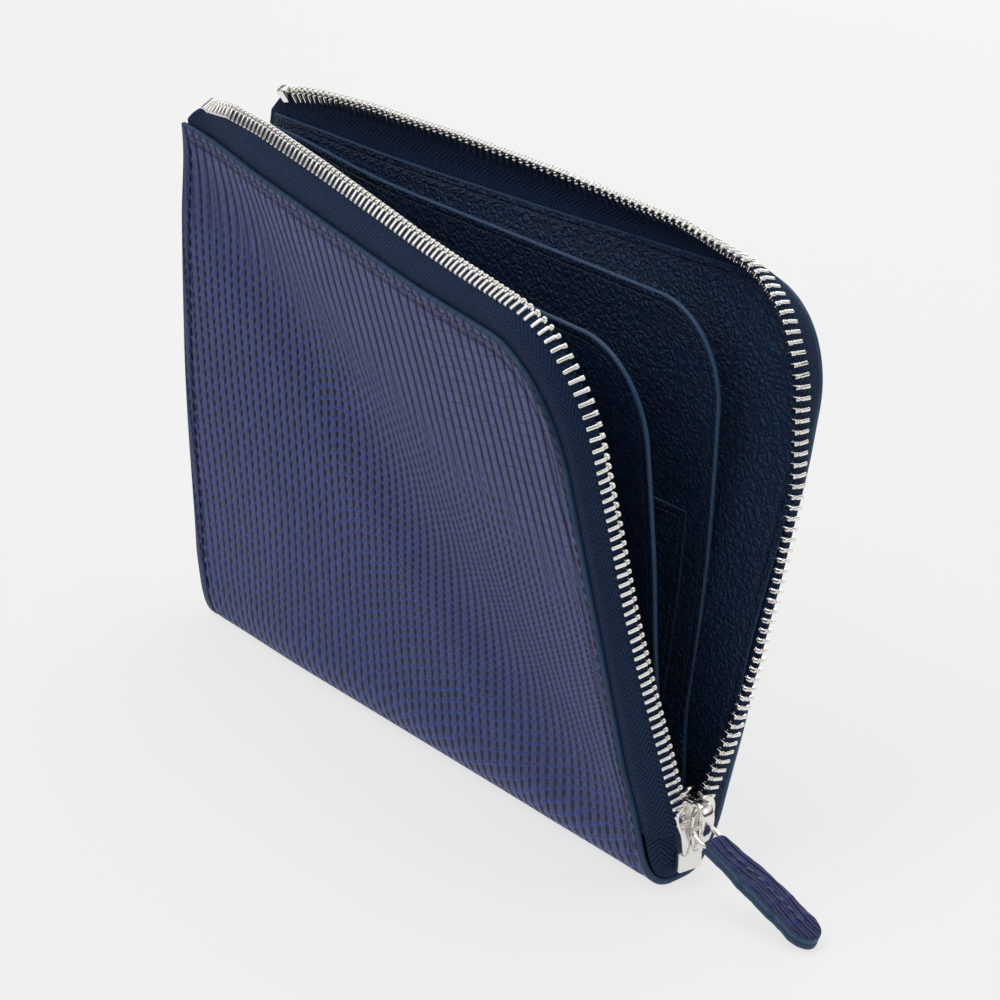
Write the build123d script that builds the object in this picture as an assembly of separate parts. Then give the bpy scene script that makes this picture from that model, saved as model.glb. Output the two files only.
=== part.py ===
from build123d import *
from typing import NamedTuple
import math
import os

# Passport holder: one leather cover folded along the bottom, an L-shaped metal zip along the
# top and the right-hand edge, two leather dividers inside, a slider with a leather pull tab.
# It stands open on its fold. Units are millimetres. X runs along the fold (+X is the slider
# end), -Y is the front cover, +Y the back cover, +Z is up, and z = 0 is the flat under the fold.
#
# Apart from the two spines and the pull tab, each piece is drawn in the closed frame, with
# z = 0 on the bending lines and y = 0 midway between the covers. It is then bent, opened and
# stood up into place.

os.makedirs("parts", exist_ok=True)

# ---- driving dimensions --------------------------------------------------------------------
COVER_W = 155.0          # length of the cover along the fold
COVER_H = 100.0          # height of each cover above its bottom bending line
CORNER_R = 20.0          # rounded top right corner
FOLD_Z = 6.5             # height of the bending lines over the floor
HALF_LEFT = 5.0          # half thickness of the closed holder at the left end
HALF_RIGHT = 8.4         # half thickness of the closed holder at the slider end
LEAN = 2.0               # lean of the closed holder toward the back, degrees

OUTER_T = 1.3            # thicknesses of the materials
TAPE_T = 0.6
LINING_T = 0.8
DIVIDER_T = 1.0
POCKET_T = 0.7

TOOTH_PITCH = 1.8
TOOTH_L = 3.0            # across the chain
TOOTH_W = 0.84           # along the chain
TOOTH_T = 2.2            # through the tape
TIP_Y = 0.7              # distance of the tooth tips from the middle plane when closed

STITCH_PITCH = 2.8
STITCH_SIZE = (1.9, 0.5, 0.24)
STITCH_LIFT = 0.13       # centre of a stitch above the leather

# ---- derived sizes -------------------------------------------------------------------------
END_X = COVER_W / 2
HALF_MID = (HALF_LEFT + HALF_RIGHT) / 2
SLOPE = (HALF_RIGHT - HALF_LEFT) / COVER_W
CORNER_X = END_X - CORNER_R              # centre of the corner arc
CORNER_Z = COVER_H - CORNER_R
ROW_Y = TIP_Y + TOOTH_L / 2              # middle of a closed tooth row
LINING_DEPTH = OUTER_T + TAPE_T          # from the outer skin to the lining
INNER_DEPTH = LINING_DEPTH + LINING_T    # from the outer skin to the inside

STAND = Pos(0, 0, FOLD_Z) * Rot(-LEAN, 0, 0)
FOLD_AXIS = Axis(Vector(0, HALF_MID, 0), Vector(1, SLOPE, 0))

# The diagonal of a cover runs from its top left to its bottom right corner, in panel x, y.
# Each cover bends outward over it.
DIAG_UP = Vector(COVER_H, COVER_W).normalized()    # at right angles to it, up and to the right
LOWER, UPPER = -1, 1


class Cover(NamedTuple):
    name: str
    side: int              # sign of Y
    flap_angle: float      # outward bend over the diagonal, degrees
    swing: float           # opening at the fold, degrees
    outer_bottom: float    # lower edge of the outer leather
    lining_bottom: float   # lower edge of the lining
    gusset_x: float
    tooth_offset: float    # shift of the teeth along the chain


FRONT = Cover("front", -1, 17.8, 0.0, 0.1, 0.4, -75.9, 0.0)
BACK = Cover("back", 1, 7.0, 7.2, 0.3, 0.8, -75.0, TOOTH_PITCH / 2)


# ---- shared helpers ------------------------------------------------------------------------
def save(name, *shapes):
    solids = [solid for shape in shapes for solid in shape.solids()]
    piece = solids[0] if len(solids) == 1 else Compound(children=solids)
    export_step(piece, "parts/%s.step" % name)


def half_at(x):
    """half thickness of the closed holder at x"""
    return HALF_MID + SLOPE * x


def clamp(value, low, high):
    return max(low, min(high, value))


def stations(start, stop, pitch):
    """evenly spaced values from start, all below stop"""
    return [start + i * pitch for i in range(math.ceil((stop - start) / pitch))]


def closed_wire(points):
    return Wire([Line(a, b) for a, b in zip(points, points[1:] + points[:1])])


def rounded_panel(x0, y0, x1, y1, radius):
    """rectangle with its top right corner rounded"""
    cx, cy = x1 - radius, y1 - radius
    diag = radius * math.cos(math.radians(45))
    return make_face(Wire([
        Line((x0, y0), (x1, y0)),
        Line((x1, y0), (x1, cy)),
        ThreePointArc((x1, cy), (cx + diag, cy + diag), (cx, y1)),
        Line((cx, y1), (x0, y1)),
        Line((x0, y1), (x0, y0)),
    ]))


def slab(sketch, z0, z1):
    """the single face of a sketch, extruded from z0 to z1"""
    return Pos(0, 0, z0) * extrude(sketch.faces()[0], amount=z1 - z0, dir=(0, 0, 1))


def stitch(x, y, z, angle=0.0):
    return Pos(x, y, z) * Rot(0, 0, angle) * Box(*STITCH_SIZE)


def cover_plane(cover):
    """outer skin of a closed cover: local x along it, y up, z toward -Y"""
    side = cover.side
    return Plane(origin=(0, side * HALF_MID, 0), x_dir=Vector(1, side * SLOPE, 0),
                 z_dir=Vector(side * SLOPE, -1, 0))


def place_lower(cover, shape):
    """stand up a piece of the cover below the diagonal"""
    return STAND * shape.rotate(FOLD_AXIS, -cover.swing)


def place_flap(cover, shape):
    """bend a piece over the diagonal, then stand it up with its cover"""
    diagonal = Axis(Vector(-END_X, cover.side * ROW_Y, COVER_H), Vector(COVER_W, 0, -COVER_H))
    return place_lower(cover, shape.rotate(diagonal, -cover.side * cover.flap_angle))


def above_diagonal(x, y):
    """distance of a panel point above the diagonal"""
    return (x + END_X) * DIAG_UP.X + (y - COVER_H) * DIAG_UP.Y


def flap_gap(cover, half_thickness):
    """clearance between the diagonal and the edge of the flap"""
    return 0.25 + math.radians(cover.flap_angle) * (half_thickness - ROW_Y)


def half_plane(side, left_gap, right_gap):
    """area on one side of the diagonal, held off by a gap at each end"""
    overrun, reach = 60, 260
    left = Vector(-END_X, COVER_H) + DIAG_UP * (side * left_gap)
    right = Vector(END_X, 0) + DIAG_UP * (side * right_gap)
    along = (right - left).normalized()
    across = Vector(-along.Y, along.X) * (side * reach)
    start, end = left - along * overrun, right + along * overrun
    return make_face(closed_wire([start, end, end + across, start + across]))


def outline_at(distance, start_x, inset=0.0):
    """follow the cover outline from start_x along the top, round the corner and down the
    right edge; gives x, z and the turn of the outward direction from upright, in radians"""
    radius = CORNER_R - inset
    past_top = distance - (CORNER_X - start_x)
    turn = clamp(past_top / radius, 0.0, math.pi / 2)
    x = CORNER_X + min(past_top, 0.0) + radius * math.sin(turn)
    z = CORNER_Z + radius * math.cos(turn) - max(past_top - radius * math.pi / 2, 0.0)
    return x, z, turn


# ---- outer leather and lining --------------------------------------------------------------
LINING_LEFT = 3.0        # inset of the lining at the left end
LINING_EDGE = 1.4        # inset of the lining at the top and the right
BEND_R = 4.0             # outer radius of the bends beside the flat under the fold
SPINE_SINK = 0.03        # part of the outer spine trimmed off at the floor


def cover_panel(left_inset, edge_inset, bottom):
    return rounded_panel(-END_X + left_inset, bottom, END_X - edge_inset, COVER_H - edge_inset,
                         CORNER_R - edge_inset)


def cover_layer(cover, name, panel, depth, thickness, lower_gap, extra_flap_gap):
    """one leather layer of a cover, parted along the diagonal"""
    z0, z1 = sorted((cover.side * depth, cover.side * (depth + thickness)))
    left_gap, right_gap = [flap_gap(cover, h) + extra_flap_gap for h in (HALF_LEFT, HALF_RIGHT)]
    lower = slab(panel & half_plane(LOWER, lower_gap, lower_gap), z0, z1)
    flap = slab(panel & half_plane(UPPER, left_gap, right_gap), z0, z1)
    plane = cover_plane(cover)
    save("%s_%s_lower" % (name, cover.name), place_lower(cover, plane * lower))
    save("%s_%s_flap" % (name, cover.name), place_flap(cover, plane * flap))


def u_run(x, radius, top, side):
    """U-shaped line across the fold, starting at the top on the given side of Y"""
    centre = half_at(x) - BEND_R
    diag = radius * math.cos(math.radians(45))
    wall, floor = centre + radius, BEND_R - radius

    def at(y, z):
        return (x, side * y, z)
    return [
        Line(at(wall, top), at(wall, BEND_R)),
        ThreePointArc(at(wall, BEND_R), at(centre + diag, BEND_R - diag), at(centre, floor)),
        Line(at(centre, floor), at(-centre, floor)),
        ThreePointArc(at(-centre, floor), at(-centre - diag, BEND_R - diag), at(-wall, BEND_R)),
        Line(at(-wall, BEND_R), at(-wall, top)),
    ]


def u_section(x, depth, thickness, top):
    outside = u_run(x, BEND_R - depth, top, -1)
    inside = u_run(x, BEND_R - depth - thickness, top, 1)
    return Wire(outside + [Line(outside[-1] @ 1, inside[0] @ 0)]
                + inside + [Line(inside[-1] @ 1, outside[0] @ 0)])


def spine(depth, thickness, x0, x1, top):
    """leather around the fold, resting on the floor"""
    return Solid.make_loft([u_section(x, depth, thickness, top) for x in (x0, x1)], True)


for cover in (FRONT, BACK):
    cover_layer(cover, "outer", cover_panel(0, 0, cover.outer_bottom),
                depth=0, thickness=OUTER_T, lower_gap=0.15, extra_flap_gap=0)
    cover_layer(cover, "lining", cover_panel(LINING_LEFT, LINING_EDGE, cover.lining_bottom),
                depth=LINING_DEPTH, thickness=LINING_T, lower_gap=0.4, extra_flap_gap=0.3)

outer_spine = Pos(0, 0, -SPINE_SINK) * spine(0.0, OUTER_T, -END_X, END_X, top=6.0)
save("outer_spine", outer_spine - Pos(0, 0, -5) * Box(220, 60, 10))
save("lining_spine",
     spine(OUTER_T, LINING_T, -END_X + LINING_LEFT, END_X - LINING_EDGE, top=5.6))

# ---- dividers and their slip pockets -------------------------------------------------------
DIVIDER_X0, DIVIDER_X1 = -74.0, 68.0
DIVIDER_Z = 1.5
DIVIDER_R = 18.0
POCKET_LEFT = 45.0       # left edge of a pocket from the left edge of its divider


def divider(name, left_y, right_y, height, pocket_right, pocket_height, opening, upright):
    """divider with a pocket on its front face; it turns about its left edge when upright,
    otherwise about its bottom edge. pocket_right is the strip left free beside the pocket."""
    length = DIVIDER_X1 - DIVIDER_X0
    along = Vector(length, right_y - left_y, 0).normalized()
    plane = Plane(origin=(DIVIDER_X0, left_y, DIVIDER_Z), x_dir=along,
                  z_dir=Vector(along.Y, -along.X, 0))
    hinge = Axis(plane.origin, Vector(0, 0, 1) if upright else along)
    pocket = Pos(POCKET_LEFT, 0) * Rectangle(length - POCKET_LEFT - pocket_right, pocket_height,
                                             align=(Align.MIN, Align.MIN))
    face = DIVIDER_T / 2
    sheet = slab(rounded_panel(0, 0, length, height, DIVIDER_R), -face, face)
    for piece, shape in (("divider", sheet),
                         ("slip_pocket", slab(pocket, face, face + POCKET_T))):
        save("%s_%s" % (piece, name), STAND * (plane * shape).rotate(hinge, -opening))


divider("rear", left_y=0.75, right_y=2.0, height=94.0, pocket_right=7.0, pocket_height=52.0,
        opening=6.5, upright=False)
divider("front", left_y=-0.75, right_y=-0.9, height=92.0, pocket_right=9.0, pocket_height=42.0,
        opening=1.25, upright=True)

# ---- left side gusset, one leaf on each cover ----------------------------------------------
LEAF_T, LEAF_W, LEAF_H = 0.6, 2.9, 91.0
LEAF_Z = 47.5            # middle of a leaf
LEAF_GAP = 0.1           # between a leaf and the lining


def gusset_leaf(cover):
    y = half_at(cover.gusset_x) - INNER_DEPTH - LEAF_GAP - LEAF_W / 2
    return Pos(cover.gusset_x, cover.side * y, LEAF_Z) * Box(LEAF_T, LEAF_W, LEAF_H)


for cover in (FRONT, BACK):
    save("gusset_" + cover.name, place_lower(cover, gusset_leaf(cover)))

# ---- zip along the flaps -------------------------------------------------------------------
# Places on the zip are distances along the cover outline, from ZIP_X on the top edge.
ZIP_X = -END_X + 7.0
ZIP_FOOT_Z = 12.5        # height above the bending line where the free tooth rows end
ROW_GAP = 0.5            # chain outside the right-hand edge
ROW_X = END_X + ROW_GAP
RISE_LEFT, RISE_CORNER = 6.4, 4.5    # tooth row above the top edge, at ZIP_X and at the corner
TOP_RUN = CORNER_X - ZIP_X
ARC_RUN = math.pi / 2 * CORNER_R
ZIP_RUN = TOP_RUN + ARC_RUN + CORNER_Z - ZIP_FOOT_Z
FIRST_TOOTH = 2.0
TOP_STOP_AT = -0.6
TAPE_START = -3.5
TAPE_INSET = 0.4         # fold of the tape inside the leather edge
TAPE_TUCK = (0.5, 5.6)   # least and greatest depth of tape between leather and lining
TAPE_CLEAR = 1.3         # tape from the diagonal
TAPE_HALF_T = TAPE_T / 2 - 0.04


def row_rise(distance):
    """how far the tooth row stands outside the cover outline"""
    if distance <= TOP_RUN:
        return RISE_LEFT + (RISE_CORNER - RISE_LEFT) * distance / TOP_RUN
    t = clamp((distance - TOP_RUN) / (ARC_RUN * 1.1), 0.0, 1.0)
    return RISE_CORNER + (ROW_GAP - RISE_CORNER) * t * t * (3 - 2 * t)


def tape_point(cover, x, z):
    """point in the middle of the tape, under the outer leather"""
    return Vector(x, cover.side * (half_at(x) - OUTER_T - TAPE_T / 2), z)


def row_frame(cover, distance):
    """plane on the middle of a tooth (x from its tip to the leather edge, z away from the
    holder), with the point on the leather edge and the outward direction there"""
    x, z, turn = outline_at(distance, ZIP_X)
    outward = Vector(math.sin(turn), 0, math.cos(turn))
    rise = row_rise(distance)
    tip = Vector(x + outward.X * rise, cover.side * TIP_Y, z + outward.Z * rise)
    edge = tape_point(cover, x, z)
    across = (edge - tip).normalized()
    normal = across.cross(Vector(outward.Z, 0, -outward.X)).normalized()
    if normal.dot(outward) < 0:
        normal = normal * -1
    plane = Plane(origin=tip + across * (TOOTH_L / 2), x_dir=across, z_dir=normal)
    return plane, edge, outward


def tape_section(cover, distance):
    """free strip from the teeth to the leather edge, and the tucked strip under the leather"""
    plane, edge, outward = row_frame(cover, distance)
    free = plane.origin + plane.x_dir * (TOOTH_L / 2 + 0.1)
    room = (above_diagonal(edge.X, COVER_H) - TAPE_CLEAR) / DIAG_UP.Y - TAPE_INSET
    fold = edge - outward * TAPE_INSET
    tucked = fold - outward * clamp(room, *TAPE_TUCK)
    fold = tape_point(cover, fold.X, fold.Z)
    tucked = tape_point(cover, tucked.X, tucked.Z)

    # the two strips share a mitred corner at the fold
    free_normal = plane.z_dir
    tucked_normal = Vector(0, cover.side, 0)
    mitre = (free_normal + tucked_normal).normalized()
    free_t = free_normal * TAPE_HALF_T
    tucked_t = tucked_normal * TAPE_HALF_T
    mitre_t = mitre * (TAPE_HALF_T / max(0.5, mitre.dot(free_normal)))
    return closed_wire([free + free_t, fold + mitre_t, tucked + tucked_t,
                        tucked - tucked_t, fold - mitre_t, free - free_t])


def zip_tape(cover):
    places = [TAPE_START, 0.0, 3.0, 6.0]
    places += [TOP_RUN * i / 6 for i in range(1, 7)]
    places += [TOP_RUN + ARC_RUN * i / 10 for i in range(1, 12)]
    places += [ZIP_RUN]
    return Solid.make_loft([tape_section(cover, place) for place in places], True)


def row_block(cover, distance, width, thickness):
    """block across the tooth row, as long as a tooth"""
    return place_flap(cover, row_frame(cover, distance)[0] * Box(TOOTH_L, width, thickness))


for cover in (FRONT, BACK):
    save("zip_tape_" + cover.name, place_flap(cover, zip_tape(cover)))
    save("zip_teeth_" + cover.name,
         *[row_block(cover, place, TOOTH_W, TOOTH_T)
           for place in stations(FIRST_TOOTH + cover.tooth_offset, ZIP_RUN, TOOTH_PITCH)])
    save("top_stop_" + cover.name, row_block(cover, TOP_STOP_AT, width=2.4, thickness=1.1))

# ---- foot of the zip, fixed to the fold ----------------------------------------------------
FOOT_HALF_W = HALF_RIGHT - INNER_DEPTH - 0.15
SLOT_HALF_W = TIP_Y + TOOTH_L + 0.03
FOOT_TEETH_Z = (1.9, 11.0)           # first tooth and upper limit
STOP_T = 1.4


def zip_tape_foot():
    """tape with a slot for the teeth, open at the top"""
    tape = Pos(ROW_X, 0, 4.3) * Box(TAPE_T, 2 * FOOT_HALF_W, 14.6)
    return tape - Pos(ROW_X, 0, 6.7) * Box(4, 2 * SLOT_HALF_W, 11.0)


def zip_teeth_foot():
    first, limit = FOOT_TEETH_Z
    return [Pos(ROW_X, cover.side * ROW_Y, z) * Box(TOOTH_T, TOOTH_L, TOOTH_W)
            for cover in (FRONT, BACK)
            for z in stations(first + cover.tooth_offset, limit, TOOTH_PITCH)]


def bottom_stop():
    block = Pos(ROW_X + TAPE_T / 2 + STOP_T / 2, 0, -1.2) * Box(STOP_T, 6.0, 3.9)
    return fillet(block.edges().filter_by(Axis.X), 0.6)


save("zip_tape_foot", STAND * zip_tape_foot())
save("zip_teeth_foot", *[STAND * tooth for tooth in zip_teeth_foot()])
save("bottom_stop", STAND * bottom_stop())

# ---- slider: two plates joined by a neck, with a bridge for the link -----------------------
SLIDER_GAP = TOOTH_T / 2 + 0.45      # inner face of a plate from the chain plane
SLIDER_T = 1.0
SLIDER_FACE_X = ROW_X + SLIDER_GAP + SLIDER_T
BRIDGE_Z = 6.3
BRIDGE_D = 3.2
WINDOW_D = 1.9                       # opening under the bridge

# outline of a slider plate: y, z
SLIDER_OUTLINE = [
    (-3.1, 1.1), (3.1, 1.1), (3.6, 4.5), (4.6, 8.6), (4.4, 10.9), (2.6, 11.8),
    (0.9, 10.9), (-0.9, 10.9), (-2.6, 11.8), (-4.4, 10.9), (-4.6, 8.6), (-3.6, 4.5),
]


def slider_plate(x):
    outline = closed_wire([(x, y, z) for y, z in SLIDER_OUTLINE])
    return extrude(make_face(outline), amount=SLIDER_T, dir=(1, 0, 0))


def slider_body():
    neck = Pos(ROW_X, 0, 9.7) * Box(2 * SLIDER_GAP + 0.4, 0.9, 2.3)
    return slider_plate(ROW_X + SLIDER_GAP) + slider_plate(ROW_X - SLIDER_GAP - SLIDER_T) + neck


def slider_bridge():
    arch = Pos(SLIDER_FACE_X + BRIDGE_D / 2, 0, BRIDGE_Z) * Box(BRIDGE_D, 2.2, 7.4)
    arch = fillet(arch.edges().filter_by(Axis.Y).group_by(Axis.X)[-1], 2.0)
    return arch - Pos(SLIDER_FACE_X + WINDOW_D / 2, 0, BRIDGE_Z) * Box(WINDOW_D, 4.0, 4.0)


save("slider_body", STAND * slider_body())
save("slider_bridge", STAND * slider_bridge())

# ---- link ----------------------------------------------------------------------------------
LINK_WIRE_R = 0.55
LINK_L = 5.0
LINK_HALF_W = 2.9
LINK_DROP = 22.0                     # degrees below level
LINK_PLACE = (STAND * Pos(SLIDER_FACE_X + WINDOW_D / 2, 0, BRIDGE_Z)
              * Rot(0, LINK_DROP, 0))


def puller_link():
    """closed rectangular wire link, drawn flat: local x outward, local y across"""
    path = FilletPolyline((0, -LINK_HALF_W, 0), (LINK_L, -LINK_HALF_W, 0),
                          (LINK_L, LINK_HALF_W, 0), (0, LINK_HALF_W, 0),
                          radius=1.1, close=True)
    return sweep(Plane(origin=path @ 0, z_dir=path % 0) * Circle(LINK_WIRE_R), path=path)


save("puller_link", LINK_PLACE * puller_link())

# ---- leather pull tab, hanging from the far bar of the link to the floor -------------------
# Drawn around the bar: local x along the tab, y across, z through its two layers.
TAB_W0, TAB_W1, TAB_L = 5.4, 8.4, 25.0    # width at the link, width at the round end, length
TAB_HALF_T = 1.45
TAB_SPLIT = 0.02                     # half the gap between the layers
TAB_START = 1.0
TAB_YAW = 12.0                       # degrees
TAB_END_Z = 1.62                     # height of the middle of the tab near its round end
LOOP_R = 1.5

bar = (LINK_PLACE * Pos(LINK_L, 0, 0)).position
tab_drop = math.degrees(math.asin((bar.Z - TAB_END_Z) / (TAB_L - 0.6)))
TAB_PLACE = Pos(bar.X, bar.Y, bar.Z) * Rot(0, 0, TAB_YAW) * Rot(0, tab_drop, 0)


def tab_layer(z0, z1):
    w0, w1 = TAB_W0 / 2, TAB_W1 / 2
    end = TAB_L - w1
    return slab(make_face(Wire([
        Line((TAB_START, -w0), (end, -w1)),
        ThreePointArc((end, -w1), (TAB_L, 0), (end, w1)),
        Line((end, w1), (TAB_START, w0)),
        Line((TAB_START, w0), (TAB_START, -w0)),
    ])), z0, z1)


def cross_rod(radius, length=12):
    """cylinder along local y, around the bar"""
    return Cylinder(radius, length, rotation=(90, 0, 0))


def pull_tab_top():
    """upper layer with the loop around the bar"""
    loop = cross_rod(LOOP_R, TAB_W0 - 2.4) - cross_rod(0.98)
    layer = tab_layer(TAB_SPLIT, TAB_HALF_T) - cross_rod(LOOP_R - 0.01)
    return layer + (loop - Pos(6, 0, -3 - TAB_SPLIT) * Box(12, 12, 6))


def pull_tab_back():
    return tab_layer(-TAB_HALF_T, -TAB_SPLIT) - cross_rod(LOOP_R + 0.02)


save("pull_tab_top", TAB_PLACE * pull_tab_top())
save("pull_tab_back", TAB_PLACE * pull_tab_back())
save("thread_tab", *[TAB_PLACE * stitch(x, 0, TAB_HALF_T + STITCH_LIFT)
                     for x in stations(4.2, TAB_L - 3.0, STITCH_PITCH)])

# ---- cover stitching -----------------------------------------------------------------------
SEAM_INSET = 2.8         # distance of the stitching from the cover edge
SEAM_CLEAR = 1.3         # stitches from the edge of the flap
SEAM_X = -END_X + SEAM_INSET


def flap_stitches(cover):
    """stitches along the top, the corner and the right edge, as far as the flap reaches"""
    run = (CORNER_X - SEAM_X) + math.pi / 2 * (CORNER_R - SEAM_INSET) + CORNER_Z - 3.2
    gap = flap_gap(cover, HALF_RIGHT)
    points = [outline_at(place, SEAM_X, SEAM_INSET)
              for place in stations(1.6, run, STITCH_PITCH)]
    return [stitch(x, y, -cover.side * STITCH_LIFT, -math.degrees(turn))
            for x, y, turn in points if above_diagonal(x, y) - gap > SEAM_CLEAR]


def side_stitches(cover):
    """stitches up the left edge"""
    return [stitch(SEAM_X, y, -cover.side * STITCH_LIFT, 90.0)
            for y in stations(2.0, COVER_H - 6.5, STITCH_PITCH)]


for cover in (FRONT, BACK):
    plane = cover_plane(cover)
    save("thread_%s_flap" % cover.name,
         *[place_flap(cover, plane * thread) for thread in flap_stitches(cover)])
    save("thread_%s_side" % cover.name,
         *[place_lower(cover, plane * thread) for thread in side_stitches(cover)])
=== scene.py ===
"""A zip-around leather holder standing part open on its fold.

X runs along the fold, the front cover faces -Y and Z is up. The zip starts at the top left
(-X), runs over the top and down the right end (+X), where the slider hangs. Two dividers with
slip pockets stand inside. Shapes are worked out in millimetres and stored in metres. The covers
are first drawn closed and upright, then bent open.
"""
import math
import bmesh
import bpy
import numpy as np
from mathutils import Matrix, Vector

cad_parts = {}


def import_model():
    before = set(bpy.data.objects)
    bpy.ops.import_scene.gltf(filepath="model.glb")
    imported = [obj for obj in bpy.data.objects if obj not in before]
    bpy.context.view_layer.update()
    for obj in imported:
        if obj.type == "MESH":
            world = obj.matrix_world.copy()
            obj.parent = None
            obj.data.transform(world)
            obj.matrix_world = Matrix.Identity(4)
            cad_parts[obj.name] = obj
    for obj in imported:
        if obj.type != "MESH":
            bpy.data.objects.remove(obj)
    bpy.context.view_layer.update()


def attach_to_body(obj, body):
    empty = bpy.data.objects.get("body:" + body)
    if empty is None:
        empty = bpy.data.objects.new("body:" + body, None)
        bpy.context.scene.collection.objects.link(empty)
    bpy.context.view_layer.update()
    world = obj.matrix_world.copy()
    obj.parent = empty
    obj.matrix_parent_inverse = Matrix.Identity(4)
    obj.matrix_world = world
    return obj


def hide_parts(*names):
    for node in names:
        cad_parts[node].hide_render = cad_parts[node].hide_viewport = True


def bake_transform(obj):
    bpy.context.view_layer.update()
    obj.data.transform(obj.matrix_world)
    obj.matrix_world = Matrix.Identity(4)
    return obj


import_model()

MM = 0.001
FRONT, BACK = -1, 1                     # sign of Y on each side

# ---- driving sizes, millimetres and degrees ----------------------------------------------
WIDTH, HEIGHT, CORNER = 155.0, 100.0, 20.0
END_X = WIDTH / 2
DEPTH_LEFT, DEPTH_RIGHT = 5.0, 8.4      # half thickness of the closed holder at each end
DEPTH_MID = (DEPTH_LEFT + DEPTH_RIGHT) / 2
LIFT, LEAN = 6.5, 2.0                   # fold above the floor, lean of the whole holder
FRONT_TURN, BACK_SWING, BACK_TURN = 17.8, 7.2, 7.0
FRONT_BEND = 17.0                       # half width of the front bend across the diagonal
BACK_BEND = (21.0, 62.0)                # start and end of the back bend above the diagonal
LEATHER_THICK, TAPE_THICK, LINING_THICK = 1.3, 0.6, 0.8
FRONT_EDGE, FRONT_KEEL = 3.0, -7.0      # rise where the skin starts to curl under, and its end
BACK_EDGE, BACK_KEEL = 6.0, -9.0
SPLIT = 12.0                            # rise where the back cover is split in two pieces
SEAM, STITCH_PITCH = 2.8, 2.7           # seam line in from the edge, spacing of stitches


# ---- numbers and vectors -----------------------------------------------------------------
def linear(value, start, end):
    """0 at start, 1 at end, clamped"""
    return np.clip((value - start) / (end - start), 0, 1)


def ramp(value, start, end):
    """as linear, eased at both ends"""
    share = linear(value, start, end)
    return share * share * (3 - 2 * share)


def half_depth(x):
    return DEPTH_MID + (DEPTH_RIGHT - DEPTH_LEFT) * x / WIDTH


def xyz(*coords):
    """N x 3 array from broadcast coordinates"""
    coords = np.broadcast_arrays(*[np.asarray(c, float) for c in coords])
    return np.stack([c.ravel() for c in coords], -1)


def unit(vector):
    vector = np.array(vector, float)
    return vector / np.linalg.norm(vector)


def unit_rows(vectors):
    return vectors / (np.linalg.norm(vectors, axis=1)[:, None] + 1e-12)


def turn(points, pivot, axis, degrees):
    """rotate points about an axis, by one angle or one per point"""
    axis = unit(axis)
    angle = np.radians(np.broadcast_to(degrees, points.shape[:1]))[:, None]
    arm = points - pivot
    side = np.cross(np.broadcast_to(axis, arm.shape), arm)
    along = axis * (arm @ axis)[:, None]
    return pivot + arm * np.cos(angle) + side * np.sin(angle) + along * (1 - np.cos(angle))


def bezier(start, pull_start, pull_end, end, share):
    b = share[:, None]
    return ((1 - b) ** 3 * start + 3 * b * (1 - b) ** 2 * pull_start
            + 3 * b * b * (1 - b) * pull_end + b ** 3 * end)


def smooth_interp(at, knots, values):
    """piecewise cubic through the knots"""
    knots, values = np.array(knots, float), np.array(values, float)
    slope = np.gradient(values, knots)
    i = np.clip(np.searchsorted(knots, at) - 1, 0, len(knots) - 2)
    gap = knots[i + 1] - knots[i]
    u = np.clip((at - knots[i]) / gap, -0.2, 1.2)
    return ((2 * u ** 3 - 3 * u * u + 1) * values[i]
            + (u ** 3 - 2 * u * u + u) * gap * slope[i]
            + (-2 * u ** 3 + 3 * u * u) * values[i + 1]
            + (u ** 3 - u * u) * gap * slope[i + 1])


def normals(surface, x, rise, toward):
    """unit normals of surface(x, rise), on the side that mostly faces `toward`"""
    step = 0.2
    across = surface(x + step, rise) - surface(x - step, rise)
    up = surface(x, rise + step) - surface(x, rise - step)
    found = unit_rows(np.cross(across, up))
    return -found if np.mean(found @ np.array(toward, float)) < 0 else found


# ---- from the closed holder to the open one ----------------------------------------------
DIAGONAL = np.array([WIDTH, 0.0, -HEIGHT])      # top left to bottom right
DIAGONAL_Y = 2.2                                # bend axis off the middle plane
DIAGONAL_NORMAL = np.array([HEIGHT, WIDTH]) / math.hypot(WIDTH, HEIGHT)
BACK_PIVOT = np.array([0, DEPTH_MID, 0.0])
BACK_AXIS = unit((1, (DEPTH_RIGHT - DEPTH_LEFT) / WIDTH, 0))


def above_diagonal(points):
    return ((points[:, 0] + END_X) * DIAGONAL_NORMAL[0]
            + (points[:, 2] - HEIGHT) * DIAGONAL_NORMAL[1])


def bend(points, side, degrees):
    return turn(points, np.array([-END_X, side * DIAGONAL_Y, HEIGHT]), DIAGONAL, degrees)


def stand(points):
    """lean the holder and lift it off the floor"""
    return turn(points, np.zeros(3), (1, 0, 0), -LEAN) + np.array([0, 0, LIFT])


def settle(points):
    """the leather draws in toward the lower left end of the fold"""
    x, y, z = points.T
    left = ramp(x, -35, -77)
    draw = left * (1.2 * ramp(z, 45, 0) + 2.4 * ramp(z, 15, 0))
    return xyz(x + draw, y * (1 - 0.35 * left * ramp(z, 60, 10)), z)


def open_front(points):
    x, _, z = points.T
    above = above_diagonal(points)
    moved = bend(points, FRONT, FRONT_TURN * ramp(above, -FRONT_BEND, FRONT_BEND))
    corner = ramp(x, 15, 77) * ramp(z, 35, 100)
    slide = (1.28 * ramp(x, -77, 33) * ramp(above, -6, 44)
             - 1.5 * ramp(x, -45, -77) * ramp(z, 20, 80))
    return settle(stand(moved + xyz(slide, 0.25 * corner, 1.88 * corner)))


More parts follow.
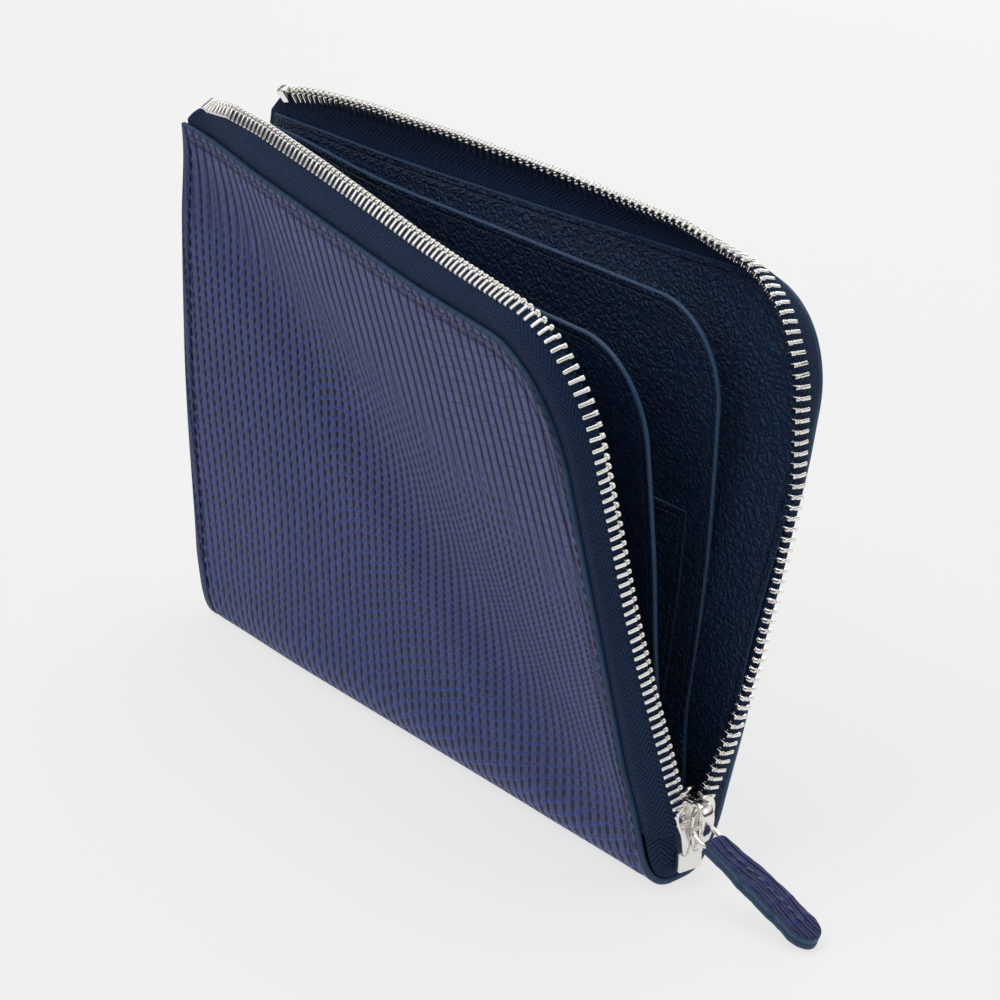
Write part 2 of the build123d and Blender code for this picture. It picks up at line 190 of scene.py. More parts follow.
def open_back(points):
    x, _, z = points.T
    moved = bend(points, BACK, -BACK_TURN * ramp(above_diagonal(points), *BACK_BEND))
    moved = turn(moved, BACK_PIVOT, BACK_AXIS, -BACK_SWING * ramp(z, -3, 8))
    level = z / HEIGHT
    right = ramp(x, 5, 77)
    corner = right * ramp(z, 45, 100)
    bulge = -0.37 * ramp(x, -20, 77) * np.clip(4 * level * (1 - level), 0, 1)
    return settle(stand(moved + xyz(3.20 * right * ramp(z, 0, 30),
                                    bulge - 1.96 * corner, 2.94 * corner)))


OPENED = {FRONT: open_front, BACK: open_back}


def keel(x):
    """middle line under the fold, where front and back leather meet"""
    left = ramp(x, -35, -77)
    return xyz(x + 3.6 * left, -0.22 * half_depth(x) * (1 - 0.35 * left), 0.0)


def leather_skin(side, edge, keel_rise, edge_pull, keel_pull):
    """outer skin of one side; below `edge` it curls under and reaches the keel at keel_rise"""
    def skin(x, rise):
        def opened(height):
            return OPENED[side](xyz(x, side * half_depth(x), height))
        start, end = opened(edge), keel(x)
        down = unit_rows(start - opened(edge + 1.0))
        pull = xyz(0.0, side * keel_pull * half_depth(x) / DEPTH_RIGHT, 0.0)
        share = np.clip((edge - rise) / (edge - keel_rise), 0, 1.05)
        curl = bezier(start, start + down * edge_pull, end + pull, end, share)
        return np.where((rise >= edge)[:, None], opened(np.maximum(rise, edge)), curl)
    return skin


front_skin = leather_skin(FRONT, FRONT_EDGE, FRONT_KEEL, edge_pull=5.2, keel_pull=4.8)
back_skin = leather_skin(BACK, BACK_EDGE, BACK_KEEL, edge_pull=6.5, keel_pull=6.2)


# ---- outline of the covers and the tooth rows along it -----------------------------------
TOP_RUN = WIDTH - CORNER
CORNER_END = TOP_RUN + math.pi / 2 * CORNER
OUTLINE_END = CORNER_END + HEIGHT - CORNER


def outline(along):
    """x, z and outward direction on the closed outline, measured from the top left corner"""
    angle = np.clip((along - TOP_RUN) / CORNER, 0, math.pi / 2)
    out_x, out_z = np.sin(angle), np.cos(angle)
    x = np.where(along <= TOP_RUN, -END_X + along, END_X - CORNER + CORNER * out_x)
    z = np.where(along <= TOP_RUN, HEIGHT, HEIGHT - CORNER + CORNER * out_z)
    z = np.where(along > CORNER_END, HEIGHT - CORNER - (along - CORNER_END), z)
    x = np.where(along > CORNER_END, END_X, x)
    return x, z, out_x, out_z


def outline_point(along, side, out, inset):
    """closed point `out` beyond the outline and `inset` in from the skin of the cover"""
    x, z, out_x, out_z = outline(along)
    return np.stack([x + out_x * out, side * (half_depth(x) - inset), z + out_z * out], -1)


# distance along the outline, then how far the tooth row stands out from it and in from the skin
ROW_AT = [0, 6, 12, 20, 35, 60, 90, 120, 135, 145, 155, 166, 180, 195, 210, 225, 240, 248]
ROW_OUT = {
    FRONT: [2.04, 2.96, 4.85, 6.74, 7.4, 6.95, 5.87, 4.52, 3.65,
            3.03, 2.17, 1.2, 1.0, 0.9, 1.2, 1.8, 2.1, 1.5],
    BACK: [2.85, 3.97, 5.46, 6.41, 7.26, 7.46, 6.6, 4.45, 1.71,
           0.5, 0.1, 0.7, 2.0, 2.9, 3.2, 1.6, 0.1, -0.1],
}
ROW_INSET = {
    FRONT: [3.49, 4.5, 4.12, 4.19, 4.47, 4.8, 5.11, 5.2, 5.43,
            6.01, 6.2, 6.1, 6.3, 6.3, 6.82, 7.6, 8.0, 6.85],
    BACK: [2.74, 2.68, 2.78, 2.95, 3.12, 3.67, 4.42, 5.44, 6.9,
           7.4, 7.6, 6.6, 4.9, 4.1, 3.9, 5.3, 6.67, 6.8],
}


def row_offsets(along, side):
    return np.interp(along, ROW_AT, ROW_OUT[side]), np.interp(along, ROW_AT, ROW_INSET[side])


def row_point(along, side):
    return outline_point(along, side, *row_offsets(along, side))


# ---- how pieces follow the moving bodies; bend pieces are only baked in place ------------
def world(point):
    return tuple(float(v) * MM for v in point)


def riding(body):
    return lambda ob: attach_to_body(ob, body)


def blending(start, end):
    return lambda ob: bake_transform(ob)


def over_diagonal(distance, side):
    """opened place of a skin point this far above the middle of the diagonal"""
    out_x, out_z = DIAGONAL_NORMAL
    closed = xyz(out_x * distance, side * DEPTH_MID, HEIGHT / 2 + out_z * distance)
    return world(OPENED[side](closed)[0])


bend_front = blending(over_diagonal(-FRONT_BEND, FRONT), over_diagonal(FRONT_BEND, FRONT))
bend_back = blending(over_diagonal(BACK_BEND[0], BACK), over_diagonal(BACK_BEND[1], BACK))
bend_fold = blending((0, 0, 0.0035), (0, 0, 0.0145))
ride_fold = riding("fold_and_front")


# ---- mesh helpers ------------------------------------------------------------------------
def new_object(name, vertices, faces, slot, material, attributes=None):
    mesh = bpy.data.meshes.new(name)
    mesh.from_pydata((np.asarray(vertices) * MM).tolist(), [], [list(map(int, f)) for f in faces])
    mesh.validate()
    for key, values in (attributes or {}).items():
        values = np.asarray(values, float)
        kind, field = ("FLOAT_VECTOR", "vector") if values.ndim == 2 else ("FLOAT", "value")
        attribute = mesh.attributes.new(key, kind, "POINT")
        attribute.data.foreach_set(field, values.astype(np.float32).ravel())
    shade_smooth(mesh)
    ob = bpy.data.objects.new(name, mesh)
    bpy.context.scene.collection.objects.link(ob)
    mesh.materials.append(material)
    return ob


def shade_smooth(mesh):
    mesh.polygons.foreach_set("use_smooth", [True] * len(mesh.polygons))


def recalc_normals(mesh):
    bm = bmesh.new()
    bm.from_mesh(mesh)
    bmesh.ops.recalc_face_normals(bm, faces=bm.faces)
    bm.to_mesh(mesh)
    bm.free()


def attach(ob, slot, motion, replaces=None):
    """set the motion and the CAD pieces replaced: by default the one the slot names"""
    motion(ob)
    replaces = (slot,) if replaces is None else replaces
    if replaces:
        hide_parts(*replaces)


def solid(name, shape, slot, material, motion, replaces=None, attributes=None):
    ob = new_object(name, *shape, slot, material, attributes)
    attach(ob, slot, motion, replaces)


def merge(*shapes):
    vertices, faces, count = [], [], 0
    for part, part_faces in shapes:
        vertices.append(part)
        faces += [[i + count for i in f] for f in part_faces]
        count += len(part)
    return np.concatenate(vertices), faces


def tube_faces(rings, around, closed=False):
    """side faces between rings of `around` points; closed joins the last ring to the first"""
    faces = []
    for i in range(rings if closed else rings - 1):
        this, after = i * around, (i + 1) % rings * around
        for j in range(around):
            k = (j + 1) % around
            faces.append([this + j, this + k, after + k, after + j])
    return faces


def end_caps(rings, around):
    return [list(range(around))[::-1], [(rings - 1) * around + j for j in range(around)]]


EDGE_STEPS = [0, 0.12, 0.32, 0.7, 1.2, 1.8, 2.3, 2.8, 3.3, 3.9, 4.8]


def stations(start, end, step, fine_start=True, snap=None):
    """grid coordinates, finer at the end and optionally at the start; one is moved to snap"""
    first = [start + v for v in EDGE_STEPS] if fine_start else [start]
    last = [end - v for v in EDGE_STEPS][::-1]
    count = max(1, int(round((last[0] - first[-1]) / step)))
    middle = list(np.linspace(first[-1], last[0], count + 1)[1:-1])
    out = np.array(first + middle + last)
    if snap is not None:
        out[int(np.argmin(np.abs(out - snap)))] = snap
    return out


def sheet(name, surface, xs, rises, depths, material, slot, toward, motion, replaces=None,
          edges="", walls="LRTB", corner=None, rounding=0.42, press=0.0, grain=None,
          stretch=(1, 1)):
    """Leather or cloth between two depths under surface(x, rise), seen from `toward`.

    edges: which of L R T are cut and rounded; walls: which sides are closed.
    corner: centre x, centre rise and radius of the top right corner.
    press: depth of the dip along the seam; stretch: scale of the stored sheet position.
    """
    x, rise = np.meshgrid(xs, rises, indexing="ij")
    columns, lines = x.shape
    far = np.full(x.shape, 1e3)
    from_left = x - xs[0] if "L" in edges else far
    inward = np.minimum(xs[-1] - x if "R" in edges else far,
                        rises[-1] - rise if "T" in edges else far)
    if corner:
        corner_x, corner_rise, radius = corner
        u, v = (x - corner_x) / radius, (rise - corner_rise) / radius
        both = (u > 0) & (v > 0)
        u, v = np.where(both, u, 0), np.where(both, v, 0)
        x = np.where(both, corner_x + radius * u * np.sqrt(1 - v * v / 2), x)
        rise = np.where(both, corner_rise + radius * v * np.sqrt(1 - u * u / 2), rise)
        inward = np.where(both, radius - np.hypot(x - corner_x, rise - corner_rise), inward)
    edge = np.maximum(np.minimum(from_left, inward), 0).ravel()
    x, rise = x.ravel(), rise.ravel()
    skin = surface(x, rise)
    normal = normals(surface, x, rise, toward)

    outer, inner = depths
    near = np.clip(1 - edge / rounding, 0, 1)
    rounded = rounding * (1 - np.sqrt(np.maximum(0, 1 - near * near)))
    rounded = np.minimum(rounded, (inner - outer) * 0.42)
    dip = press * np.exp(-((edge - SEAM) / 0.9) ** 2)
    vertices = np.concatenate([skin - normal * (outer + rounded + dip)[:, None],
                               skin - normal * (inner - rounded)[:, None]])

    count = columns * lines
    index = np.arange(count).reshape(columns, lines)
    quads = np.stack([index[:-1, :-1], index[1:, :-1], index[1:, 1:], index[:-1, 1:]], -1)
    quads = quads.reshape(-1, 4)
    at = skin[quads[:, 0]]
    facing = np.cross(skin[quads[:, 1]] - at, skin[quads[:, 3]] - at)
    flipped = np.mean(np.sum(facing * normal[quads[:, 0]], 1)) < 0
    if flipped:
        quads = quads[:, ::-1]
    faces = [quads, quads[:, ::-1] + count]
    borders = {"L": index[0, :], "R": index[-1, ::-1], "T": index[::-1, -1], "B": index[:, 0]}
    for side, border in borders.items():
        if side in walls:
            wall = np.stack([border[:-1], border[1:], border[1:] + count, border[:-1] + count], -1)
            faces.append(wall if (side != "B") != flipped else wall[:, ::-1])

    cell = grain(x, rise) if grain else np.stack([x, rise], -1)
    grain_values = np.stack([cell[:, 0], cell[:, 1], np.minimum(edge, 20)], -1)
    paint = np.clip(1.25 - edge / 0.34, 0, 1)
    place = np.stack([x * stretch[0], rise * stretch[1], paint], -1)
    ob = new_object(name, vertices, np.concatenate(faces), slot, material, {
        "grain": np.tile(grain_values, (2, 1)),
        "sheetpos": np.tile(place, (2, 1)),
        "inner": np.repeat([0.0, 1.0], count),
    })
    recalc_normals(ob.data)
    shade_smooth(ob.data)
    attach(ob, slot, motion, replaces)


def grain_front(x, rise):
    """(column, row) coordinates of the embossed scales"""
    across = x + END_X
    down = 102 - rise
    column = (across + 0.10 * (rise - 50) + 0.9 * np.sin(x / 24 + rise / 33)
              + 0.35 * np.sin(rise / 13 - x / 17)) / 4.09
    skewed = across + 0.12 * (rise - 60)

    def bent(centre, half):
        """integral of a smooth step that rises from centre - half to centre + half"""
        z = np.clip((skewed - centre + half) / (2 * half), 0, 1)
        return 2 * half * (z ** 3 - z ** 4 / 2) + np.maximum(skewed - centre - half, 0)

    high = 0.76 * skewed - 1.02 * bent(53, 15) + 0.50 * bent(104, 16)
    low = 0.62 * skewed - 0.30 * bent(70, 25)
    upper = ramp(rise, 12, 57)
    row = ((down + high * upper + low * (1 - upper)) / 2.1
           + 0.35 * np.sin(across / 15 + down / 28.75))
    return np.stack([column, row], -1)


def grain_back(x, rise):
    return grain_front(-x * 0.98 + 1.5, rise) * (-1, 1)


# ---- node trees --------------------------------------------------------------------------
def operator(kind, swapped=False):
    def combine(self, other):
        pair = (other, self) if swapped else (self, other)
        return self.tree.math(kind, *pair)
    return combine


class Signal:
    """an output socket; arithmetic on it adds Math nodes"""

    def __init__(self, tree, socket):
        self.tree = tree
        self.socket = socket

    __add__ = operator("ADD")
    __sub__, __rsub__ = operator("SUBTRACT"), operator("SUBTRACT", swapped=True)
    __mul__, __rmul__ = operator("MULTIPLY"), operator("MULTIPLY", swapped=True)

    def __abs__(self):
        return self.tree.math("ABSOLUTE", self)

    def scaled(self, by, plus, clamp=False):
        return self.tree.math("MULTIPLY_ADD", self, by, plus, clamp=clamp)

    def ramp(self, start, end, low=0.0, high=1.0):
        """smooth step from low at start to high at end"""
        return self.tree.out("ShaderNodeMapRange", "Result", interpolation_type="SMOOTHSTEP",
                             Value=self, From_Min=start, From_Max=end, To_Min=low, To_Max=high)


class Tree:
    """the node tree of a material or world"""

    def __init__(self, owner, output="ShaderNodeOutputMaterial"):
        owner.use_nodes = True
        self.owner = owner
        self.tree = owner.node_tree
        self.tree.nodes.clear()
        self.output = self.tree.nodes.new(output)

    def put(self, socket, value):
        if isinstance(value, Signal):
            self.tree.links.new(value.socket, socket)
            return
        if socket.type == "RGBA" and len(value) == 3:
            value = (*value, 1.0)
        socket.default_value = value

    def node(self, kind, **settings):
        """settings name inputs, with _ for a space, or properties of the node"""
        node = self.tree.nodes.new(kind)
        for key, value in settings.items():
            label = key.replace("_", " ")
            if label in node.inputs:
                self.put(node.inputs[label], value)
            else:
                setattr(node, key, value)
        return node

    def out(self, kind, output=0, **settings):
        return Signal(self, self.node(kind, **settings).outputs[output])

    def math(self, operation, *values, clamp=False):
        node = self.node("ShaderNodeMath", operation=operation, use_clamp=clamp)
        for socket, value in zip(node.inputs, values):
            self.put(socket, value)
        return Signal(self, node.outputs[0])

    def attribute(self, name, output="Vector"):
        return self.out("ShaderNodeAttribute", output, attribute_name=name)

    def split(self, attribute_name):
        """x, y and z of a vector attribute"""
        node = self.node("ShaderNodeSeparateXYZ")
        self.put(node.inputs[0], self.attribute(attribute_name))
        return [Signal(self, socket) for socket in node.outputs]

    def vector(self, x, y, layer=0.0):
        return self.out("ShaderNodeCombineXYZ", X=x, Y=y, Z=layer)

    def noise(self, place, scale, detail=3.0, rough=0.55):
        return self.out("ShaderNodeTexNoise", "Fac", Vector=place, Scale=scale, Detail=detail,
                        Roughness=rough)

    def noise_at(self, x, y, layer=0.0, **settings):
        return self.noise(self.vector(x, y, layer), **settings)

    def cell_edge(self, place, scale):
        return self.out("ShaderNodeTexVoronoi", "Distance", feature="DISTANCE_TO_EDGE",
                        Vector=place, Scale=scale)

    def mix(self, share, under, over, linear_rgb=False):
        """blend of two colours; tuples are 0-255 sRGB unless linear_rgb is set"""
        node = self.node("ShaderNodeMix", data_type="RGBA")
        self.put(node.inputs[0], share)
        for socket, colour in ((node.inputs[6], under), (node.inputs[7], over)):
            if not linear_rgb and not isinstance(colour, Signal):
                colour = srgb(*colour)
            self.put(socket, colour)
        return Signal(self, node.outputs[2])

    def bump(self, height, distance, strength=1.0):
        return self.out("ShaderNodeBump", Strength=strength, Distance=distance, Height=height)

    def finish(self, **inputs):
        """feed a Principled shader to the output and return the material"""
        shader = self.out("ShaderNodeBsdfPrincipled", **inputs)
        self.put(self.output.inputs[0], shader)
        return self.owner


def material_tree(name):
    return Tree(bpy.data.materials.new(name))


def srgb(*channels):
    """linear colour from 0-255 sRGB"""
    shares = [c / 255 for c in channels]
    return tuple(c / 12.92 if c <= 0.04045 else ((c + 0.055) / 1.055) ** 2.4 for c in shares)


# ---- materials ---------------------------------------------------------------------------
def paint_edge(tree, colour, mask, x, rise, shades):
    """mottled paint over the cut edges; returns the colour and the mottle"""
    mottle = tree.noise_at(x, rise, layer=2.0, scale=0.8)
    return tree.mix(mask, colour, tree.mix(mottle, *shades)), mottle


def scale_leather(name, base=(54, 67, 112), dark=(14, 17, 46), ridge=(38, 66, 156),
                  tint=(62, 69, 113), plate=(57, 68, 122)):
    """embossed leather: long columns of small scales, ridges across, pits at the crossings"""
    tree = material_tree(name)
    column_at, row_at, edge = tree.split("grain")
    x, rise, paint = tree.split("sheetpos")
    warp = tree.noise_at(x, rise, scale=0.06, detail=2.0)
    # columns sway sideways by up to 0.15 of a column
    sway = (tree.noise_at(rise, x, layer=3.0, scale=0.12, detail=2.0) - 0.5) * 0.30
    # long plates near the top edge, small scales below, with a slanting, wavy limit
    top = (rise + x * 0.20 + (warp - 0.5) * 22.0).ramp(start=58.0, end=82.0)

    def cells(column_scale, row_scale, jog):
        """place in the row, distances to column and row limits, random shade per cell"""
        column_place = column_at.scaled(column_scale, sway)
        column = tree.math("FLOOR", column_place)
        to_column = 0.5 - abs(column_place - column - 0.5)
        chance = tree.out("ShaderNodeTexWhiteNoise", "Value", noise_dimensions="1D", W=column)
        row_place = row_at * row_scale + (warp - 0.5) * 1.4 + (chance - 0.5) * jog
        row = tree.math("FLOOR", row_place)
        in_row = row_place - row
        to_row = 0.5 - abs(in_row - 0.5)
        shade = tree.out("ShaderNodeTexWhiteNoise", "Value", noise_dimensions="2D",
                         Vector=tree.vector(column, row))
        return in_row, to_column, to_row, shade

    fine = tree.noise_at(x, rise * 0.6, scale=2.6, detail=4.0)
    # raggedness of the limits between cells
    rag = (tree.noise_at(x, rise, layer=9.0, scale=1.3) - 0.5) * 0.16

    # plates: domed across, with wide column grooves and thin row lines
    _, to_column, to_row, plate_shade = cells(column_scale=1.22, row_scale=0.9, jog=0.25)
    plate_groove = (to_column + rag).ramp(start=0.19, end=0.04)
    plate_line = (to_row + rag * 0.5).ramp(start=0.10, end=0.01)
    plate_height = (to_column.ramp(start=0.0, end=0.34) * 0.8
                    - (plate_groove * 0.8 + plate_line * 0.22))

    # small scales: slanting pits between the ridges, thin column grooves
    in_row, to_column, to_row, scale_shade = cells(column_scale=1.62, row_scale=1.0, jog=0.14)
    slant = to_column + (in_row - 0.5) * 0.10
    pit = slant.ramp(start=0.27, end=0.07) * abs(in_row - 0.44).ramp(start=0.40, end=0.14)
    thin = to_column.ramp(start=0.10, end=0.01) * 0.30
    scale_groove = tree.math("ADD", pit, thin, clamp=True)
    scale_ridge = (to_row + rag * 0.4).ramp(start=0.15, end=0.04)
    scale_height = to_column.ramp(start=0.0, end=0.34) * 0.5 + scale_ridge * 0.35
    scale_height = scale_height - scale_groove * 0.85

    def by_zone(small, large):
        return small * (1.0 - top) + large * top

    height = by_zone(scale_height, plate_height) + fine * 0.22
    groove = by_zone(scale_groove, plate_groove)
    ridge_mask = by_zone(scale_ridge, plate_line * 0.12)
    line_mask = by_zone(0.0, plate_line)
    shade = by_zone(scale_shade, plate_shade)
    # the stitched seam sinks in, unevenly
    seam = abs(edge - SEAM).ramp(start=0.85, end=0.15)
    crease = tree.noise_at(x, rise, scale=0.9, rough=0.7)
    height = height - seam * crease.scaled(by=1.5, plus=0.2)

    # colour, from the broad tint to the darkest lines; the factors are the strength of each
    broad = tree.noise_at(x, rise, layer=7.0, scale=0.03, detail=2.0)
    colour = tree.mix(broad.ramp(start=0.38, end=0.66), base, tint)
    colour = tree.mix(top, colour, plate)
    lighter = [min(255, v * 1.2) for v in plate]
    colour = tree.mix(shade.ramp(start=0.2, end=1.0) * 0.40, colour, lighter)
    colour = tree.mix(fine.ramp(start=0.45, end=0.75) * 0.35, colour, (50, 58, 108))
    colour = tree.mix(ridge_mask * 0.75, colour, ridge)
    colour = tree.mix(line_mask * 0.6, colour, (34, 38, 84))
    groove_share = groove * rise.ramp(start=8.0, end=62.0, low=0.55, high=0.92)
    colour = tree.mix(groove_share, colour, dark)
    # painted shade: the colour is darkened along the sunken seam, unevenly
    seam_shade = seam * crease.scaled(by=0.9, plus=0.2, clamp=True)
    colour = tree.mix(seam_shade, colour, (20, 24, 66))
    colour = tree.mix(edge.ramp(start=2.4, end=0.3, high=0.5), colour, (40, 48, 104))
    mask = paint.ramp(start=0.25, end=0.6)
    colour, mottle = paint_edge(tree, colour, mask, x, rise, ((40, 66, 96), (52, 82, 112)))
    height = height * (1.0 - mask)
    height = height + mottle * 0.3 * mask
    # plain dark flesh side
    inner = tree.attribute("inner", "Fac").ramp(start=0.4, end=0.6)
    colour = tree.mix(inner * (1.0 - mask), colour, (24, 30, 56))
    return tree.finish(
        Base_Color=colour, Roughness=fine.scaled(by=0.20, plus=0.34) + groove * 0.3,
        Normal=tree.bump(height, distance=0.00040), Specular_IOR_Level=0.24,
        Coat_Weight=0.03, Coat_Roughness=0.35)


def pebble_leather(name, base=(7, 29, 57), high=(21, 60, 101), scale=0.74,
                   edge_shades=((32, 60, 92), (50, 84, 118))):
    """soft pebble-grain leather; edge_shades colour the painted edges, None leaves them bare"""
    tree = material_tree(name)
    x, rise, paint = tree.split("sheetpos")
    # wobble of the pebbles, millimetres
    wobble = (tree.noise_at(x, rise, layer=1.0, scale=0.5) - 0.5) * 1.6
    place = tree.vector(x + wobble, rise - wobble)
    pebble = tree.cell_edge(place, scale).ramp(start=-0.04, end=0.34)
    small = tree.cell_edge(place, scale * 2.1).ramp(start=-0.04, end=0.34)
    fine = tree.noise(place, scale=4.0)
    # relief: shares of large pebbles, small pebbles and fine noise
    height = pebble * 0.65 + (small * 0.25 + fine * 0.2)
    broad = tree.noise_at(x, rise, layer=5.0, scale=0.05, detail=2.0)
    # painted highlight and shade: pebble tops are painted lighter toward high and crevices darker
    # toward base, varied by broad noise
    colour = tree.mix(pebble * broad.scaled(by=0.7, plus=0.25), base, high)
    mask = paint.ramp(start=0.25, end=0.6)
    if edge_shades:
        colour, _ = paint_edge(tree, colour, mask, x, rise, edge_shades)
        # dark creased line 1.5 mm in from the edge
        edge = tree.split("grain")[2]
        line = abs(edge - 1.5).ramp(start=0.30, end=0.1)
        height = height - line * 0.5
        colour = tree.mix(line * 0.4, colour, (8, 14, 30))
    height = height * mask.scaled(by=-0.8, plus=1.0)
    return tree.finish(
        Base_Color=colour, Roughness=pebble.scaled(by=-0.12, plus=0.56),
        Normal=tree.bump(height, distance=0.00042), Specular_IOR_Level=0.34)


def zip_cloth(name):
    """navy herringbone tape; along and across are millimetres on the tape"""
    tree = material_tree(name)
    along, across, _ = tree.split("sheetpos")

    def wave(signal, pitch):
        return tree.math("SINE", signal * (2 * math.pi / pitch))

    wobble = (tree.noise_at(along, across, scale=1.2, detail=2.0) - 0.5) * 0.35
    # bands 1.9 mm wide whose diagonals change direction
    band = tree.math("PINGPONG", across, 1.9)
    twill = wave(along + wobble + band * 1.25, pitch=1.15)
    warp = wave(across + wobble, pitch=0.42)
    weft = wave(along, pitch=0.36)
    fuzz = tree.noise_at(along, across, scale=2.6, detail=4.0, rough=0.7)
    # relief: shares of twill, warp, weft and fuzz
    height = twill * 0.8 + (warp * 0.2 + weft * 0.14)
    height = height + (fuzz - 0.5) * 2.2
    light = height.scaled(by=0.34, plus=0.42, clamp=True)
    broad = tree.noise_at(along, across, layer=4.0, scale=0.15, detail=2.0)
    colour = tree.mix(light, (4, 14, 36), (40, 74, 118))
    colour = tree.mix(broad * 0.3, colour, (16, 36, 70))
    return tree.finish(
        Base_Color=colour, Roughness=0.85, Normal=tree.bump(height, distance=0.00020),
        Sheen_Weight=0.12, Sheen_Roughness=0.45, Sheen_Tint=(0.3, 0.4, 0.7),
        Specular_IOR_Level=0.2)


def nickel(name, roughness):
    tree = material_tree(name)
    place = tree.out("ShaderNodeTexCoord", "Object")
    fine = tree.noise(place, scale=900.0)
    broad = tree.noise(place, scale=160.0, detail=2.0)
    # the fine noise varies the roughness by 0.06 about the given value
    varied = fine * 0.06 + (roughness - 0.03)
    colour = tree.mix(broad, (0.80, 0.775, 0.73), (0.90, 0.885, 0.86), linear_rgb=True)
    return tree.finish(Base_Color=colour, Metallic=1.0, Roughness=varied,
                       Normal=tree.bump(broad, distance=0.00003, strength=0.2))


def twisted_thread(name, dark, light):
    tree = material_tree(name)
    along, around, _ = tree.split("sheetpos")
    # twist: 16 radians per millimetre, one turn per turn
    twist = tree.math("SINE", along * 16.0 + around * 1.0)
    return tree.finish(
        Base_Color=tree.mix(twist.scaled(by=0.5, plus=0.5), dark, light), Roughness=0.55,
        Normal=tree.bump(twist, distance=0.00006, strength=0.7), Sheen_Weight=0.2)


LEATHER = scale_leather("embossed leather")
LINING = pebble_leather("lining leather", base=(8, 32, 62), high=(22, 64, 106), scale=0.80)
DIVIDER = pebble_leather("divider leather")
# painted highlight: same leather as the dividers, with the edge paint coloured brighter where the
# edges catch the light
POCKET_LIT_EDGES = pebble_leather("pocket leather with edge highlight", edge_shades=((40, 66, 98), (62, 92, 126)))
# painted shade: the gusset takes a darker copy of the pebble leather, for the shade between the
# covers
SHADED_GUSSET = pebble_leather("gusset leather in painted shade", base=(6, 18, 42), high=(16, 38, 76), scale=0.62,
                        edge_shades=None)
CLOTH = zip_cloth("zip tape")
NICKEL = nickel("polished nickel", roughness=0.16)
TEETH_NICKEL = nickel("nickel teeth", roughness=0.14)
THREAD = twisted_thread("waxed thread", dark=(14, 18, 52), light=(30, 38, 84))
TAB_LEATHER = scale_leather("tab leather", base=(58, 66, 112), dark=(32, 36, 78),
                            ridge=(44, 62, 130), tint=(66, 68, 114))
TAB_THREAD = twisted_thread("tab thread", dark=(58, 74, 120), light=(92, 112, 160))

# ---- leather cover -----------------------------------------------------------------------
COVER_STEP = 1.5
FRONT_TOP, FRONT_RIGHT = HEIGHT - 1.0, END_X - 2.2    # the front leather stops short
FRONT_CORNER = 20.8
TOWARD_FRONT, TOWARD_BACK, TOWARD_UNDER = (0, -1, 0), (0, 1, 0), (0, 1, -0.6)


def tuck(x, rise, start, end):
    """shift to the right at the lower left end, where the leather turns under"""
    return 2.4 * linear(x, -66, -END_X) * linear(rise, start, end) ** 2


def front_cover(x, rise):
    """front skin, its right edge sweeping out a little where it turns under the fold"""
    sweep = 1.4 * ramp(x, 60, FRONT_RIGHT) * (1 - ramp(rise, FRONT_KEEL, FRONT_KEEL + 13))
    return front_skin(x + sweep + tuck(x, rise, 2.5, FRONT_KEEL), rise)


def fold_cover(x, rise):
    """back skin near the fold, drawn in to meet the front leather's edge"""
    draw = 0.9 * ramp(x, 58, END_X) * (1 - ramp(rise, BACK_KEEL + 0.5, BACK_KEEL + 5))
    return back_skin(x - draw + tuck(x, rise, 0.5, BACK_KEEL), rise)


def front_rises(count, top, step, snap):
    curl = np.linspace(FRONT_KEEL, FRONT_EDGE, count)[:-1]
    return np.concatenate([curl, stations(FRONT_EDGE, top, step, fine_start=False, snap=snap)])


cover = dict(depths=(0.0, LEATHER_THICK), material=LEATHER, press=0.16)
corner_x, corner_rise = FRONT_RIGHT - FRONT_CORNER, FRONT_TOP - FRONT_CORNER
sheet("cover_front", front_cover, stations(-END_X, FRONT_RIGHT, COVER_STEP, snap=corner_x),
      front_rises(13, FRONT_TOP, COVER_STEP, corner_rise), slot="outer_front_lower",
      toward=TOWARD_FRONT, motion=bend_front,
      replaces=("outer_front_lower", "outer_front_flap", "outer_spine"),
      edges="LRT", walls="LRT", corner=(corner_x, corner_rise, FRONT_CORNER),
      grain=grain_front, **cover)

corner_x, corner_rise = END_X - CORNER, HEIGHT - CORNER
cover_xs = stations(-END_X, END_X, COVER_STEP, snap=corner_x)
sheet("cover_fold_back", fold_cover, cover_xs, np.linspace(BACK_KEEL, SPLIT, 20),
      slot="outer_back_lower", toward=TOWARD_UNDER, motion=bend_fold,
      edges="LR", walls="LR", grain=grain_back, **cover)
sheet("cover_back", back_skin, cover_xs,
      stations(SPLIT, HEIGHT, COVER_STEP, fine_start=False, snap=corner_rise),
      slot="outer_back_flap", toward=TOWARD_BACK, motion=bend_back,
      edges="LRT", walls="LRT", corner=(corner_x, corner_rise, CORNER), grain=grain_back, **cover)

# ---- lining ------------------------------------------------------------------------------
LINING_STEP = 2.2
LINING_LEFT = -END_X + 3.0
FRONT_MARGIN, BACK_MARGIN = 1.5, 0.5        # lining inside the outline
LINING_DEPTH = LEATHER_THICK + TAPE_THICK
INSIDE_DEPTH = LINING_DEPTH + LINING_THICK

